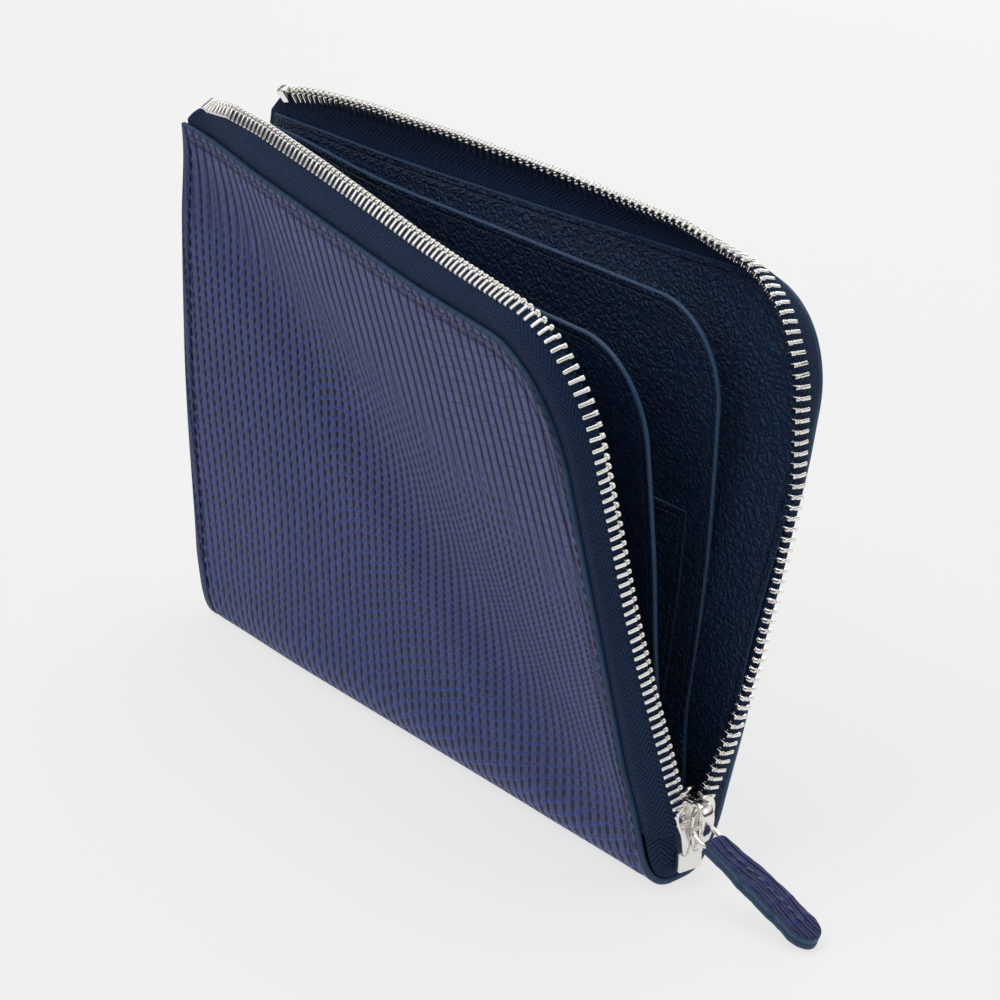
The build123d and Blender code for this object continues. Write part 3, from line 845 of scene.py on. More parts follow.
lining = dict(depths=(LINING_DEPTH, INSIDE_DEPTH), material=LINING, rounding=0.3)
sheet("inner_front", front_skin,
      stations(LINING_LEFT, END_X - FRONT_MARGIN, LINING_STEP, snap=corner_x),
      front_rises(10, HEIGHT - FRONT_MARGIN, LINING_STEP, corner_rise),
      slot="lining_front_lower", toward=TOWARD_FRONT, motion=bend_front,
      replaces=("lining_front_lower", "lining_front_flap", "lining_spine"),
      edges="RT", walls="LRT", corner=(corner_x, corner_rise, CORNER - FRONT_MARGIN), **lining)
lining_xs = stations(LINING_LEFT, END_X - BACK_MARGIN, LINING_STEP, snap=corner_x)
sheet("inner_fold_back", back_skin, lining_xs, np.linspace(BACK_KEEL, SPLIT, 14),
      slot="lining_back_lower", toward=TOWARD_UNDER, motion=bend_fold, walls="LR", **lining)
sheet("inner_back", back_skin, lining_xs,
      stations(SPLIT, HEIGHT - BACK_MARGIN, LINING_STEP, fine_start=False, snap=corner_rise),
      slot="lining_back_flap", toward=TOWARD_BACK, motion=bend_back,
      edges="RT", walls="LRT", corner=(corner_x, corner_rise, CORNER - BACK_MARGIN), **lining)

# ---- dividers and slip pockets -----------------------------------------------------------
# y of each divider against height, at its right end, middle and left end
DIVIDER_Z = [0, 8, 14, 25, 45, 56, 73, 86, 102]
REAR_Y = (
    [2.0, 3.2, 5.0, 8.0, 11.4, 12.7, 13.9, 14.5, 15.2],
    [1.2, 2.0, 3.2, 5.6, 9.3, 11.0, 13.0, 14.2, 15.0],
    [0.0, 0.6, 1.4, 3.2, 6.8, 9.0, 12.0, 14.3, 17.0],
)
FORE_Y = (
    [0.2, 0.8, 1.4, 1.9, 0.9, 0.5, -0.8, -2.0, -3.0],
    [0.0, 0.2, 0.6, 1.0, 0.9, 0.7, 0.4, 0.2, 0.0],
    [-0.2, 0.0, 0.3, 1.0, 2.3, 3.0, 4.2, 5.0, 5.6],
)
DIVIDER_LEFT, DIVIDER_RIGHT, DIVIDER_FOOT, DIVIDER_CORNER = -74.0, 68.0, 5.5, 17.0
POCKET_LEFT, POCKET_FOOT = -28.0, 8.0
DIVIDER_STEP = 2.0


def divider_surface(profiles, shift=0.0, bulge=0.0):
    def surface(x, z):
        right, middle, left = [smooth_interp(z, DIVIDER_Z, ys) for ys in profiles]
        to_right = ramp(x, -30, DIVIDER_RIGHT)
        to_left = ramp(x, -20, DIVIDER_LEFT)
        y = middle * (1 - to_right) + right * to_right
        y = y * (1 - to_left) + left * to_left
        y = y + shift + bulge * ramp(x, -29, -17) * ramp(x, 61, 49) * ramp(z, 10, 40)
        slide = (4.6 * ramp(z, 30, 8) * ramp(x, 20, DIVIDER_RIGHT)
                 + 2.6 * ramp(x, -35, -77) * ramp(z, 30, 0))
        return xyz(x + slide, y, z + 1.5 * ramp(x, -30, DIVIDER_LEFT) * z / 100)
    return surface


# name, profiles, top, slot, moving body
for name, profiles, top, slot, body in (
        ("divider_back", REAR_Y, 101.6, "divider_rear", "rear_divider"),
        ("divider_fore", FORE_Y, 98.4, "divider_front", "front_divider")):
    corner = (DIVIDER_RIGHT - DIVIDER_CORNER, top - DIVIDER_CORNER, DIVIDER_CORNER)
    sheet(name, divider_surface(profiles),
          stations(DIVIDER_LEFT, DIVIDER_RIGHT, DIVIDER_STEP, snap=corner[0]),
          stations(DIVIDER_FOOT, top, DIVIDER_STEP, fine_start=False, snap=corner[1]),
          (-0.5, 0.5), DIVIDER, slot, TOWARD_FRONT, riding(body), edges="RT", corner=corner,
          rounding=0.4)
# name, profiles, top, right end, slot, moving body
for name, profiles, top, right, slot, body in (
        ("pocket_back", REAR_Y, 63.8, 61.8, "slip_pocket_rear", "rear_divider"),
        ("pocket_fore", FORE_Y, 59.0, 60.6, "slip_pocket_front", "front_divider")):
    sheet(name, divider_surface(profiles, shift=-0.55, bulge=-0.35),
          stations(POCKET_LEFT, right, DIVIDER_STEP),
          stations(POCKET_FOOT, top, DIVIDER_STEP, fine_start=False),
          (0.0, 0.65), POCKET_LIT_EDGES, slot, TOWARD_FRONT, riding(body), edges="LRT", rounding=0.28)

# ---- left gusset -------------------------------------------------------------------------
GUSSET_INSET, GUSSET_TOP = 2.2, 95.0


def gusset_edge(side, rise):
    depth = half_depth(-END_X) - GUSSET_INSET
    return OPENED[side](xyz(-END_X + GUSSET_INSET, side * depth, rise))


def gusset_surface(share, rise):
    """share runs 0..1 from the front cover to the back cover, rise up the side"""
    front, back = gusset_edge(FRONT, rise), gusset_edge(BACK, rise)
    gap = np.abs(back[:, 1] - front[:, 1])
    points = front * (1 - share)[:, None] + back * share[:, None]
    outer = np.abs(2 * share - 1)
    points[:, 0] += ((1.2 + 0.33 * gap) * (1 - ramp(outer, 0, 1) ** 0.8)
                     + 0.48 * np.sin(np.pi * share) * np.sin(2 * np.pi * share))
    points[:, 2] -= 0.6 * (1 - outer) * ramp(rise, 80, GUSSET_TOP)
    return points


sheet("side_gusset", gusset_surface, np.linspace(0, 1, 25), np.linspace(1.5, GUSSET_TOP, 48),
      (-0.25, 0.25), SHADED_GUSSET, "gusset_front", toward=(-1, 0, 0),
      motion=blending(world(gusset_edge(FRONT, 80.0)[0]), world(gusset_edge(BACK, 80.0)[0])),
      replaces=("gusset_front", "gusset_back"), rounding=0.2, stretch=(22.0, 1))

# ---- zip tape ----------------------------------------------------------------------------
TAPE_HIDDEN, TAPE_FREE = 4.0, 8.0           # widths between the leathers and outside them
TAPE_WIDTH = TAPE_HIDDEN + TAPE_FREE
TAPE_INSET = LEATHER_THICK + TAPE_THICK / 2
TAPE_END, TAPE_SPLIT = 241.0, OUTLINE_END - SPLIT
ROW_X = END_X + 0.5                         # chain across the right end of the fold


def tape_slant(along):
    """how far the chain edge runs ahead of the hidden edge near the left end"""
    return 4.6 * (1 - ramp(along, 0, 25))


def tape_surface(side):
    def surface(along, across):
        share = np.clip((across - TAPE_HIDDEN) / TAPE_FREE, 0, 1.08)
        along = along + share * tape_slant(along)
        out, inset = row_offsets(along, side)
        root = outline_point(along, side, -0.3, TAPE_INSET)
        deep = outline_point(along, side, -TAPE_HIDDEN, TAPE_INSET)
        middle = outline_point(along, side, 0.62 * out + 0.5,
                               TAPE_INSET + 0.12 * (inset - TAPE_INSET))
        f = share[:, None]
        free = ((1 - f) ** 2 * root + 2 * f * (1 - f) * middle
                + f ** 2 * outline_point(along, side, out, inset))
        h = np.clip(across / TAPE_HIDDEN, -0.1, 1)[:, None]
        hidden = deep * (1 - h) + root * h
        return OPENED[side](np.where((across < TAPE_HIDDEN)[:, None], hidden, free))
    return surface


ACROSS = np.array([0.2, 2.0, 3.4, 4.0, 4.5, 5.0, 5.7, 6.4, 7.2, 8.0, 8.8, 9.6, 10.4, 11.2, 12.0,
                   12.3])
ALONG = np.concatenate([np.linspace(0.8, 22, 15)[:-1], np.arange(22, 130, 1.8),
                        np.arange(130, TAPE_END, 1.3), [TAPE_END]])
ALONG_BACK = np.append(ALONG[ALONG < TAPE_SPLIT - 0.4], TAPE_SPLIT)
ALONG_FOOT = np.linspace(TAPE_SPLIT, TAPE_END, 6)
for name, side, along, motion, replaces in (
        ("tape_front", FRONT, ALONG, bend_front, None),
        ("tape_back", BACK, ALONG_BACK, bend_back, None),
        ("tape_back_foot", BACK, ALONG_FOOT, bend_fold, ())):
    slot = "zip_tape_front" if side == FRONT else "zip_tape_back"
    sheet(name, tape_surface(side), along, ACROSS, (-TAPE_THICK / 2, TAPE_THICK / 2), CLOTH,
          slot, (0.2, side, 0.4), motion, replaces, rounding=0.2)


def foot_surface(around, reach):
    """around 0..1 along the U from front to back, reach 0..1 from the leather to the chain"""
    start = 8.0                             # rise of both ends of the U
    front_share = np.clip(around, 0, 0.5) * 2
    back_share = np.clip(around - 0.5, 0, 0.5) * 2
    x = 0 * around + END_X - 1.3
    skin = np.where((around <= 0.5)[:, None],
                    front_skin(x, start + (FRONT_KEEL - start) * front_share),
                    back_skin(x, BACK_KEEL + (start - BACK_KEEL) * back_share))
    inward = np.array([END_X, 0.2, 8.5]) - skin
    inward[:, 0] = 0
    skin = skin + unit_rows(inward) * (LEATHER_THICK + 0.25)
    chain = xyz(ROW_X - 0.1, 0.1 + 1.2 * (around - 0.5), np.clip(skin[:, 2] - 0.5, 4.6, 14.0))
    r = reach[:, None]
    points = skin * (1 - r) + chain * r
    points[:, 0] = skin[:, 0] + (chain[:, 0] - skin[:, 0]) * np.sin(reach * math.pi / 2)
    return points


sheet("tape_foot", foot_surface, np.linspace(0, 1, 41), np.linspace(0, 1, 9), (-0.25, 0.25),
      CLOTH, "zip_tape_foot", (1, 0, 0), ride_fold, rounding=0.2, stretch=(34, 6))


# ---- zip teeth ---------------------------------------------------------------------------
def bevel_box(low, high, bevel, segments=2):
    bm = bmesh.new()
    bmesh.ops.create_cube(bm, size=1.0)
    for v in bm.verts:
        v.co = Vector([low[i] + (v.co[i] + 0.5) * (high[i] - low[i]) for i in range(3)])
    bmesh.ops.bevel(bm, geom=bm.edges[:], offset=bevel, segments=segments, profile=0.6,
                    affect="EDGES")
    return take_shape(bm)


def take_shape(bm):
    bm.verts.index_update()
    vertices = np.array([v.co[:] for v in bm.verts])
    faces = [[v.index for v in f.verts] for f in bm.faces]
    bm.free()
    return vertices, faces


# axes: across the chain (the tip is minus), along it, through the tape
TOOTH = merge(bevel_box((-0.75, -0.38, -1.0), (1.55, 0.38, 1.0), 0.28, 3),
              bevel_box((-1.6, -0.44, -0.6), (-0.55, 0.44, 0.6), 0.26, 3),
              bevel_box((-1.36, -0.26, -0.92), (-0.84, 0.26, 0.92), 0.2))
STOP = bevel_box((-1.6, -1.25, -1.05), (1.7, 1.25, 1.05), 0.35)
TOOTH_PITCH = 1.8
FIRST_TOOTH, LAST_TOOTH = 8.6, 239.5
STOP_AT = 6.3


def place(template, centres, across, along, through):
    """copies of the template, one per centre and set of axes"""
    vertices, faces = template
    return merge(*[(c + vertices[:, :1] * a + vertices[:, 1:2] * b + vertices[:, 2:3] * n, faces)
                   for c, a, b, n in zip(centres, across, along, through)])


def row_frames(at, side):
    """centres and axes of the tooth row at distances along the outline"""
    def row(distance):
        return OPENED[side](row_point(distance, side))

    along = unit_rows(row(at + 0.4) - row(at - 0.4))
    tape = tape_surface(side)
    start = at - tape_slant(at)
    across = tape(start, 0 * at + 10.4) - tape(start, 0 * at + TAPE_WIDTH)
    across -= along * np.sum(across * along, 1)[:, None]
    across = unit_rows(across)
    return row(at), across, along, np.cross(across, along)


rng = np.random.default_rng(7)


def teeth(name, at, side, slot, motion, replaces=None):
    centres, across, along, through = row_frames(at, side)
    tilt = rng.normal(0, 0.035, len(at))[:, None]
    shape = place(TOOTH, centres + across * 0.35,
                  across * np.cos(tilt) + along * np.sin(tilt),
                  along * np.cos(tilt) - across * np.sin(tilt), through)
    solid(name, shape, slot, TEETH_NICKEL, motion, replaces)


front_teeth = np.arange(FIRST_TOOTH, LAST_TOOTH, TOOTH_PITCH)
back_teeth = np.arange(FIRST_TOOTH + TOOTH_PITCH / 2, LAST_TOOTH, TOOTH_PITCH)
teeth("teeth_front", front_teeth, FRONT, "zip_teeth_front", bend_front)
teeth("teeth_back", back_teeth[back_teeth < TAPE_SPLIT], BACK, "zip_teeth_back", bend_back)
teeth("teeth_back_foot", back_teeth[back_teeth >= TAPE_SPLIT], BACK, "zip_teeth_back", bend_fold,
      replaces=())
for end, side, motion in (("front", FRONT, bend_front), ("back", BACK, bend_back)):
    solid("zip_stop_" + end, place(STOP, *row_frames(np.array([STOP_AT]), side)),
          "top_stop_" + end, TEETH_NICKEL, motion)


def foot_teeth():
    """the short upright run of teeth across the end of the fold"""
    centres, across = [], []
    for side in (FRONT, BACK):
        for z in np.arange(9.2 + (0 if side == FRONT else TOOTH_PITCH / 2), 14.5, TOOTH_PITCH):
            centres.append((ROW_X, side * 0.75, z))
            across.append((0, side, 0))
    count = len(centres)
    return place(TOOTH, np.array(centres), np.array(across, float),
                 np.tile([0.0, 0, 1], (count, 1)), np.tile([1.0, 0, 0], (count, 1)))


solid("teeth_foot", foot_teeth(), "zip_teeth_foot", TEETH_NICKEL, ride_fold)


# ---- slider and bottom stop --------------------------------------------------------------
def prism(outline_yz, start_x, end_x, bevel, segments=3):
    """flat plate with an outline in (y, z) and rounded edges"""
    bm = bmesh.new()
    face = bm.faces.new([bm.verts.new((start_x, y, z)) for y, z in outline_yz])
    grown = bmesh.ops.extrude_face_region(bm, geom=[face])
    for v in grown["geom"]:
        if isinstance(v, bmesh.types.BMVert):
            v.co.x = end_x
    bmesh.ops.recalc_face_normals(bm, faces=bm.faces)
    sharp = [e for e in bm.edges if len(e.link_faces) == 2 and e.calc_face_angle() > 1.2]
    bmesh.ops.bevel(bm, geom=sharp, offset=bevel, segments=segments, profile=0.55,
                    affect="EDGES")
    bmesh.ops.triangulate(bm, faces=[f for f in bm.faces if len(f.verts) > 4])
    return take_shape(bm)


def smooth_outline(corners, steps=4):
    """closed Catmull-Rom outline through the corners"""
    p = np.array(corners, float)
    out = []
    for i in range(len(p)):
        a, b, c, d = p[i - 1], p[i], p[(i + 1) % len(p)], p[(i + 2) % len(p)]
        for u in np.linspace(0, 1, steps, endpoint=False):
            out.append(0.5 * (2 * b + (-a + c) * u + (2 * a - 5 * b + 4 * c - d) * u * u
                              + (-a + 3 * b - 3 * c + d) * u ** 3))
    return np.array(out)


def stood(shape):
    return stand(shape[0]), shape[1]


PLATE_GAP, PLATE_THICK = 1.55, 1.0          # plates' distance from the chain's middle plane
INNER_X, OUTER_X = ROW_X - PLATE_GAP, ROW_X + PLATE_GAP
FACE_X = OUTER_X + PLATE_THICK              # outer face of the slider
# outlines as (y, z)
PLATE_RIGHT = [(0.0, 10.2), (0.9, 10.6), (2.2, 11.4), (3.4, 11.2), (4.3, 9.9), (4.45, 8.2),
               (3.9, 6.4), (3.1, 4.6), (2.7, 2.6), (2.45, 1.0), (2.1, 0.65)]
FLANGE = [(1.7, 0.95), (2.35, 0.95), (2.8, 4.4), (3.7, 7.2), (4.1, 8.4), (3.5, 8.2), (2.3, 4.8)]
WEDGE = [(-0.4, 8.2), (0.4, 8.2), (0.9, 9.8), (0.5, 10.6), (-0.5, 10.6), (-0.9, 9.8)]
SPINE = [(0.0, 10.2), (1.15, 8.4), (1.3, 6.2), (0.95, 3.2), (0.0, 1.0), (-0.95, 3.2),
         (-1.3, 6.2), (-1.15, 8.4)]
STOP_PLATE = [(-2.6, -3.0), (2.6, -3.0), (2.6, 0.9), (-2.6, 0.9)]


def slider_shell():
    plate = smooth_outline(PLATE_RIGHT + [(-y, z) for y, z in PLATE_RIGHT[::-1] if y > 0])
    parts = [prism(plate, OUTER_X - 0.3, FACE_X + 0.1, 0.42, 4),
             prism(plate, INNER_X - PLATE_THICK, INNER_X, 0.32)]
    # side flanges that wrap the chain, the wedge between the rows, a raised spine outside
    for side in (FRONT, BACK):
        flange = [(side * y, z) for y, z in FLANGE]
        parts.append(prism(flange, INNER_X - 0.4, OUTER_X + 0.2, 0.12))
    parts.append(prism(WEDGE, INNER_X - 0.3, OUTER_X + 0.3, 0.1))
    parts.append(prism(smooth_outline(SPINE), FACE_X - 0.3, FACE_X + 0.75, 0.55, 4))
    return merge(*parts)


# middle line of the bridge: x out from the slider face, z
BRIDGE = [(-0.2, 10.3), (1.0, 10.9), (2.2, 10.6), (3.0, 9.5), (3.15, 8.0), (2.9, 6.2),
          (2.3, 4.4), (1.4, 3.0), (0.5, 2.2), (-0.3, 2.0)]
BRIDGE_KNOTS = [0, 2, 4, 9]                 # BRIDGE points where the section is given
BRIDGE_WIDTH, BRIDGE_THICK = [2.6, 2.9, 2.6, 1.6], [1.15, 1.2, 1.05, 0.8]


def slider_bridge():
    """rounded flat bar along BRIDGE, wide in Y"""
    rings, around = 46, 18
    squareness = 2 / 3.0                    # exponent of the superellipse section
    middle = np.array(BRIDGE) + (FACE_X, 0)
    at = np.linspace(0, len(middle) - 1, rings)
    path = np.stack([smooth_interp(at, np.arange(len(middle)), middle[:, i]) for i in (0, 1)], -1)
    width = np.interp(at, BRIDGE_KNOTS, BRIDGE_WIDTH)
    thick = np.interp(at, BRIDGE_KNOTS, BRIDGE_THICK)
    tangent = unit_rows(np.gradient(path, axis=0))
    angle = np.linspace(0, 2 * math.pi, around, endpoint=False)
    wide, deep = [np.sign(c) * np.abs(c) ** squareness for c in (np.cos(angle), np.sin(angle))]
    vertices = []
    for i, (x, z) in enumerate(path):
        for a, b in zip(wide, deep):
            out = b * thick[i] / 2
            vertices.append((x + tangent[i, 1] * out, a * width[i] / 2, z - tangent[i, 0] * out))
    return np.array(vertices), tube_faces(rings, around) + end_caps(rings, around)


solid("slider_shell", stood(slider_shell()), "slider_body", NICKEL, riding("slider"))
solid("slider_loop", stood(slider_bridge()), "slider_bridge", NICKEL, riding("slider"))
solid("stop_plate", stood(prism(STOP_PLATE, ROW_X + 0.35, ROW_X + 1.8, 0.28)), "bottom_stop",
      NICKEL, ride_fold)

# ---- link between slider and tab ---------------------------------------------------------
LINK_LENGTH, LINK_HALF_WIDTH, LINK_WIRE, LINK_DOWN = 5.0, 2.2, 0.46, 22.0
LINK_X, LINK_Z = FACE_X + 0.95, 6.3


def link_ring():
    """closed wire ring, superelliptic in plan, tipped down from the slider"""
    rings, around = 48, 12
    angle = np.linspace(0, 2 * math.pi, rings, endpoint=False)
    long, wide = [np.sign(c) * np.abs(c) ** 0.62 for c in (np.cos(angle), np.sin(angle))]
    path = xyz(LINK_LENGTH / 2 + long * (LINK_LENGTH / 2), wide * LINK_HALF_WIDTH, 0.0)
    up = np.array((0, 0, 1.0))
    vertices = []
    for i in range(rings):
        side = np.cross(unit(path[(i + 1) % rings] - path[i - 1]), up)
        for j in range(around):
            a = 2 * math.pi * j / around
            vertices.append(path[i] + LINK_WIRE * (side * math.cos(a) + up * math.sin(a)))
    vertices = turn(np.array(vertices), np.zeros(3), (0, 1, 0), LINK_DOWN)
    return vertices + np.array([LINK_X, 0, LINK_Z]), tube_faces(rings, around, closed=True)


solid("link_ring", stood(link_ring()), "puller_link", NICKEL, riding("link"))

# ---- leather pull tab, two layers back to back -------------------------------------------
TAB_LENGTH, TAB_NECK, TAB_WIDTH, TAB_THICK, TAB_YAW = 26.0, 4.4, 6.0, 1.45, 5.0
TAB_ROUND, TAB_NOSE = 4.2, 1.5              # lengths of the rounded far end and near end
LINK_ANGLE = math.radians(LINK_DOWN)
TAB_ORIGIN = stand(xyz(LINK_X + LINK_LENGTH * math.cos(LINK_ANGLE), 0,
                       LINK_Z - LINK_LENGTH * math.sin(LINK_ANGLE)))[0]
TAB_DROP = math.degrees(math.asin((TAB_ORIGIN[2] - 1.62) / (TAB_LENGTH - 0.6)))


def to_tab(points):
    dropped = turn(points, np.zeros(3), (0, 1, 0), TAB_DROP)
    return turn(dropped, np.zeros(3), (0, 0, 1), TAB_YAW) + TAB_ORIGIN


def tab_half_width(length):
    full = (TAB_NECK + (TAB_WIDTH - TAB_NECK) * ramp(length, -1, 13)
            + 0.18 * math.sin(length * 0.9) + 0.10 * math.sin(length * 2.3 + 1))
    end = linear(length, TAB_LENGTH - TAB_ROUND, TAB_LENGTH)
    return full / 2 * (math.sqrt(max(0.0, 1 - end ** 2.3)) * 0.985 + 0.015)


def tab_layer(name, slot, up):
    """one leather layer: up = 1 the face, up = -1 the backing"""
    round_end = 1 - np.sin(np.linspace(0.08, math.pi / 2, 11))
    lengths = np.concatenate([np.linspace(-1.45, 0.6, 9), np.linspace(1.2, TAB_LENGTH - 4.6, 22),
                              TAB_LENGTH - TAB_ROUND * round_end])
    rings, around = len(lengths), 27
    vertices, grain, sheet_place = [], [], []
    for length in lengths:
        nose = math.sqrt(1 - (length / TAB_NOSE) ** 2) if length < 0 else 1.0
        half = tab_half_width(length) * (0.86 + 0.14 * nose)
        thick = TAB_THICK * nose
        lift = 0.35 * math.sin(max(0, length) / TAB_LENGTH * math.pi)
        # half of a rounded rectangle, from one side over the face to the other
        for j in range(around):
            share = -1 + 2 * j / (around - 1)
            if j in (0, around - 1):
                y, z = math.copysign(half, share), 0.03
            elif j in (1, around - 2):
                y, z = math.copysign(half + 0.04, share), 0.55 * thick
            else:
                g = -1 + 2 * (j - 2) / (around - 5)
                y = math.copysign(abs(g) ** 0.75, g) * half
                e = np.clip((half - abs(y)) / 0.55, 0, 1)
                z = thick * (0.80 + 0.20 * math.sqrt(max(0, 1 - (1 - e) ** 2)))
                z += 0.11 * math.sin(3.9 * y + 0.8 * math.sin(length * 0.4)) * e
            vertices.append((length, y, up * z + lift))
            grain.append((y / 1.25 + 0.3 * math.sin(length * 0.35), length / 5.5, 20.0))
            sheet_place.append((length, y + 40, 1.0 if j < 3 or j > around - 4 else 0.0))
    sheet_place = np.array(sheet_place)
    sheet_place[-around:, 2] = 1.0          # the far end is painted
    caps = [cap[::-1] for cap in end_caps(rings, around)]
    ob = new_object(name, to_tab(np.array(vertices)), tube_faces(rings, around) + caps, slot,
                    TAB_LEATHER, {"grain": grain, "sheetpos": sheet_place,
                                  "inner": np.zeros(len(vertices))})
    recalc_normals(ob.data)
    attach(ob, slot, riding("pull_tab"))


tab_layer("tab_face", "pull_tab_top", up=1)
tab_layer("tab_backing", "pull_tab_back", up=-1)

# ---- stitching ---------------------------------------------------------------------------
THREAD_STATIONS = (0, 0.12, 0.3, 0.5, 0.7, 0.88, 1)
THREAD_SIDES = 8


def stitch(start, end, normal, radius, sink=0.34):
    """thread lying on the surface, its ends diving into their holes"""
    run = end - start
    side = np.cross(run / np.linalg.norm(run), normal)
    vertices = []
    for u in THREAD_STATIONS:
        bow = math.sin(math.pi * u)
        centre = start + run * u - normal * sink * (1 - bow ** 0.5) + normal * radius * 0.35
        for j in range(THREAD_SIDES):
            a = 2 * math.pi * j / THREAD_SIDES
            vertices.append(centre + radius * (0.72 + 0.28 * bow)
                            * (side * math.cos(a) + normal * math.sin(a)))
    size = len(THREAD_STATIONS), THREAD_SIDES
    return np.array(vertices), tube_faces(*size) + end_caps(*size)


def stitches(name, surface, places, slot, toward, motion, replaces=None, length=1.9,
             radius=0.24, skew=0.25, material=THREAD):
    """places: rows of x, rise and the seam direction in them"""
    x, rise, step_x, step_rise = np.array(places).T
    normal = normals(surface, x, rise, toward)
    half_x = (step_x - step_rise * skew) * length / 2
    half_rise = (step_rise + step_x * skew) * length / 2
    starts = surface(x - half_x, rise - half_rise)
    ends = surface(x + half_x, rise + half_rise)
    shape = merge(*[stitch(a, b, n, radius) for a, b, n in zip(starts, ends, normal)])
    count = len(THREAD_STATIONS)
    along = np.repeat(np.linspace(0, length, count), THREAD_SIDES)
    around = np.tile(np.arange(THREAD_SIDES) * 2 * math.pi / THREAD_SIDES, count)
    thread_place = np.tile(xyz(along, around, 0.0), (len(x), 1))
    solid(name, shape, slot, material, motion, replaces, {"sheetpos": thread_place})


def outline_seam():
    """stitch places along the top, round the corner and down the right end"""
    radius = CORNER - SEAM
    top_run = WIDTH - SEAM - CORNER
    corner_end = top_run + math.pi / 2 * radius
    at, out = 1.2, []
    while at < corner_end + (HEIGHT - CORNER) - 0.5:
        if at <= top_run:
            out.append((-END_X + SEAM + at, HEIGHT - SEAM, 1.0, 0.0))
        elif at <= corner_end:
            a = (at - top_run) / radius
            out.append((END_X - CORNER + radius * math.sin(a),
                        HEIGHT - CORNER + radius * math.cos(a), math.cos(a), -math.sin(a)))
        else:
            out.append((END_X - SEAM, HEIGHT - CORNER - (at - corner_end), 0.0, -1.0))
        at += STITCH_PITCH
    return out


def lining_face(skin, side):
    """inner face of the lining under a skin"""
    def surface(x, rise):
        return skin(x, rise) - normals(skin, x, rise, (0, side, 0)) * INSIDE_DEPTH
    return surface


def tab_surface(x, y):
    """middle of the tab's face"""
    lift = 0.35 * np.sin(np.clip(x, 0, TAB_LENGTH) / TAB_LENGTH * math.pi)
    return to_tab(xyz(x, y, TAB_THICK + 0.02 + lift))


around_seam = outline_seam()
left_seam = [(-END_X + SEAM, rise, 0.0, 1.0) for rise in np.arange(1.5, HEIGHT - 4, STITCH_PITCH)]
around_high = [s for s in around_seam if s[1] > SPLIT]
left_high = [s for s in left_seam if s[1] > SPLIT]
low = [s for s in around_seam + left_seam if s[1] <= SPLIT]
stitches("stitch_front_flap", front_skin, around_seam, "thread_front_flap", TOWARD_FRONT,
         bend_front)
stitches("stitch_front_side", front_skin, left_seam, "thread_front_side", TOWARD_FRONT,
         bend_front)
stitches("stitch_back_flap", back_skin, around_high, "thread_back_flap", TOWARD_BACK, bend_back)
stitches("stitch_back_side", back_skin, left_high, "thread_back_side", TOWARD_BACK, bend_back)
stitches("stitch_back_foot", back_skin, low, "thread_back_side", (0, 1, -0.3), bend_fold,
         replaces=())
# the same seam on the inside, through the lining
stitches("stitch_inner_back", lining_face(back_skin, BACK), around_high, "thread_back_flap",
         TOWARD_FRONT, bend_back, replaces=(), radius=0.2)
stitches("stitch_inner_front", lining_face(front_skin, FRONT), around_high, "thread_front_flap",
         TOWARD_BACK, bend_front, replaces=(), radius=0.2)
tab_seam = [(length, 0.0, 1.0, 0.0) for length in np.arange(3.2, TAB_LENGTH - 3.5, 2.6)]
stitches("stitch_tab", tab_surface, tab_seam, "thread_tab", (0, 0, 1), riding("pull_tab"),
         length=1.7, radius=0.25, material=TAB_THREAD)


# ---- floor, world, lights and camera, metres ---------------------------------------------
def add_floor():
    tree = material_tree("floor")
    grit = tree.noise(tree.out("ShaderNodeTexCoord", "Object"), scale=60.0)
    material = tree.finish(
        Base_Color=(0.24, 0.24, 0.24), Roughness=0.9, Specular_IOR_Level=0.0,
        Normal=tree.bump(grit, distance=0.0002, strength=0.05),
        Emission_Color=(1.0, 1.0, 1.0), Emission_Strength=0.71)
    bpy.ops.mesh.primitive_plane_add(size=6.0, location=(0, 0, 0))
    floor = bpy.context.object
    floor.name = "floor"
    floor.data.materials.append(material)


# position on the ramp from low to high directions, and colour
SOFT_SKY = [(0.0, (0.55, 0.55, 0.57)), (1.0, (1.0, 1.0, 1.0))]
# mirror-like parts see a studio with dark gaps between the lit walls
MIRROR_SKY = [(at, (level,) * 3) for at, level in (
    (0.0, 0.5), (0.16, 0.5), (0.22, 0.03), (0.36, 0.05),
    (0.48, 0.95), (0.70, 1.0), (0.80, 0.25), (1.0, 0.6))]


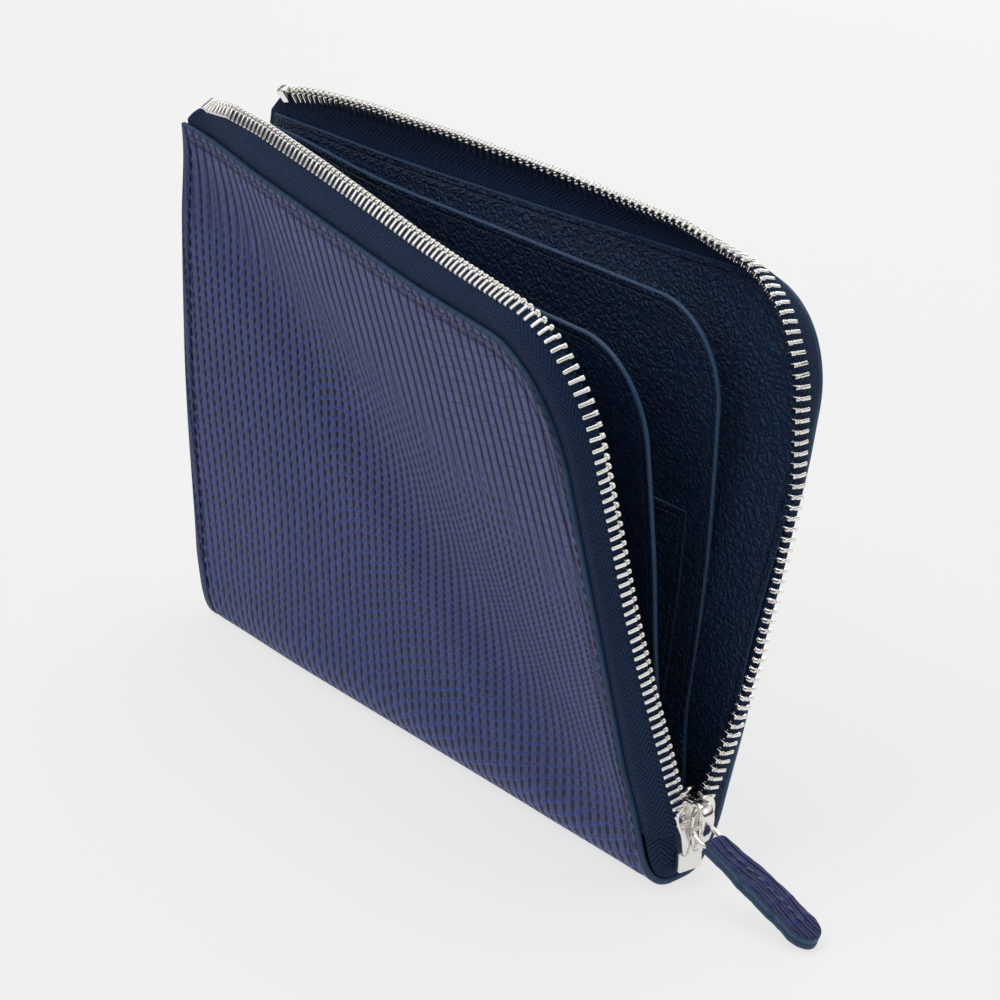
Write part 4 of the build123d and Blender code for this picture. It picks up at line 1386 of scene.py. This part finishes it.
def add_world():
    studio = bpy.data.worlds.new("studio")
    bpy.context.scene.world = studio
    tree = Tree(studio, "ShaderNodeOutputWorld")
    split = tree.node("ShaderNodeSeparateXYZ")
    tree.put(split.inputs[0], tree.out("ShaderNodeTexCoord", "Generated"))
    upward = tree.out("ShaderNodeMapRange", Value=Signal(tree, split.outputs[2]),
                      From_Min=-0.2, From_Max=1.0)

    def sky(stops, strength):
        node = tree.node("ShaderNodeValToRGB")
        tree.put(node.inputs[0], upward)
        elements = node.color_ramp.elements
        for i, (at, colour) in enumerate(stops):
            element = elements[i] if i < 2 else elements.new(at)
            element.position = at
            element.color = (*colour, 1)
        return tree.out("ShaderNodeBackground", Color=Signal(tree, node.outputs[0]),
                        Strength=strength)

    def choose(test, otherwise, chosen):
        node = tree.node("ShaderNodeMixShader")
        for socket, value in zip(node.inputs, (test, otherwise, chosen)):
            tree.put(socket, value)
        return Signal(tree, node.outputs[0])

    path = tree.node("ShaderNodeLightPath").outputs
    lit = choose(Signal(tree, path["Is Glossy Ray"]), sky(SOFT_SKY, strength=0.22),
                 sky(MIRROR_SKY, strength=0.9))
    # the floor's pale tone carries on past its far edge
    backdrop = tree.out("ShaderNodeBackground", Color=(0.865, 0.865, 0.865))
    seen = choose(Signal(tree, path["Is Camera Ray"]), lit, backdrop)
    tree.put(tree.output.inputs[0], seen)


AZIMUTH, ELEVATION = math.radians(52.348), math.radians(22.435)
TO_CAMERA = Vector((math.sin(AZIMUTH) * math.cos(ELEVATION),
                    -math.cos(AZIMUTH) * math.cos(ELEVATION), math.sin(ELEVATION)))
VIEW_RIGHT = Vector((math.cos(AZIMUTH), math.sin(AZIMUTH), 0))
VIEW_UP = TO_CAMERA.cross(VIEW_RIGHT)
LIGHT_TARGET = Vector((0, 0, 0.05))
# name, offset from the target to the view's right, toward the camera and up, size, power
LIGHTS = (
    ("key", -0.75, 0.55, 0.85, 0.8, 3.6),
    ("top", 0.0, -0.15, 1.25, 1.2, 6.5),
    ("fill", 0.95, 0.6, 0.45, 0.7, 0.8),
    ("rim", 0.35, -0.9, 0.6, 0.7, 2.0),
)


def add_light(name, right, near, up, size, power):
    data = bpy.data.lights.new(name, "AREA")
    data.energy = power
    data.shape = "RECTANGLE"
    data.size = size
    data.size_y = size
    light = bpy.data.objects.new(name, data)
    bpy.context.scene.collection.objects.link(light)
    light.location = LIGHT_TARGET + VIEW_RIGHT * right + TO_CAMERA * near + Vector((0, 0, up))
    light.rotation_mode = "QUATERNION"
    light.rotation_quaternion = (LIGHT_TARGET - light.location).to_track_quat("-Z", "Y")


def add_camera():
    data = bpy.data.cameras.new("camera")
    camera = bpy.data.objects.new("camera", data)
    bpy.context.scene.collection.objects.link(camera)
    bpy.context.scene.camera = camera
    data.sensor_width = 36.0
    data.lens = 127.224
    data.clip_start = 0.05
    data.clip_end = 20
    place = (Vector((0, 0, 0.0515)) + VIEW_RIGHT * 0.014575 + VIEW_UP * -0.002324
             + TO_CAMERA * 0.672)
    axes = Matrix((VIEW_RIGHT, VIEW_UP, TO_CAMERA)).transposed().to_4x4()
    camera.matrix_world = Matrix.Translation(place) @ axes


add_floor()
add_world()
for light in LIGHTS:
    add_light(*light)
add_camera()
bpy.context.scene.view_settings.view_transform = "Standard"
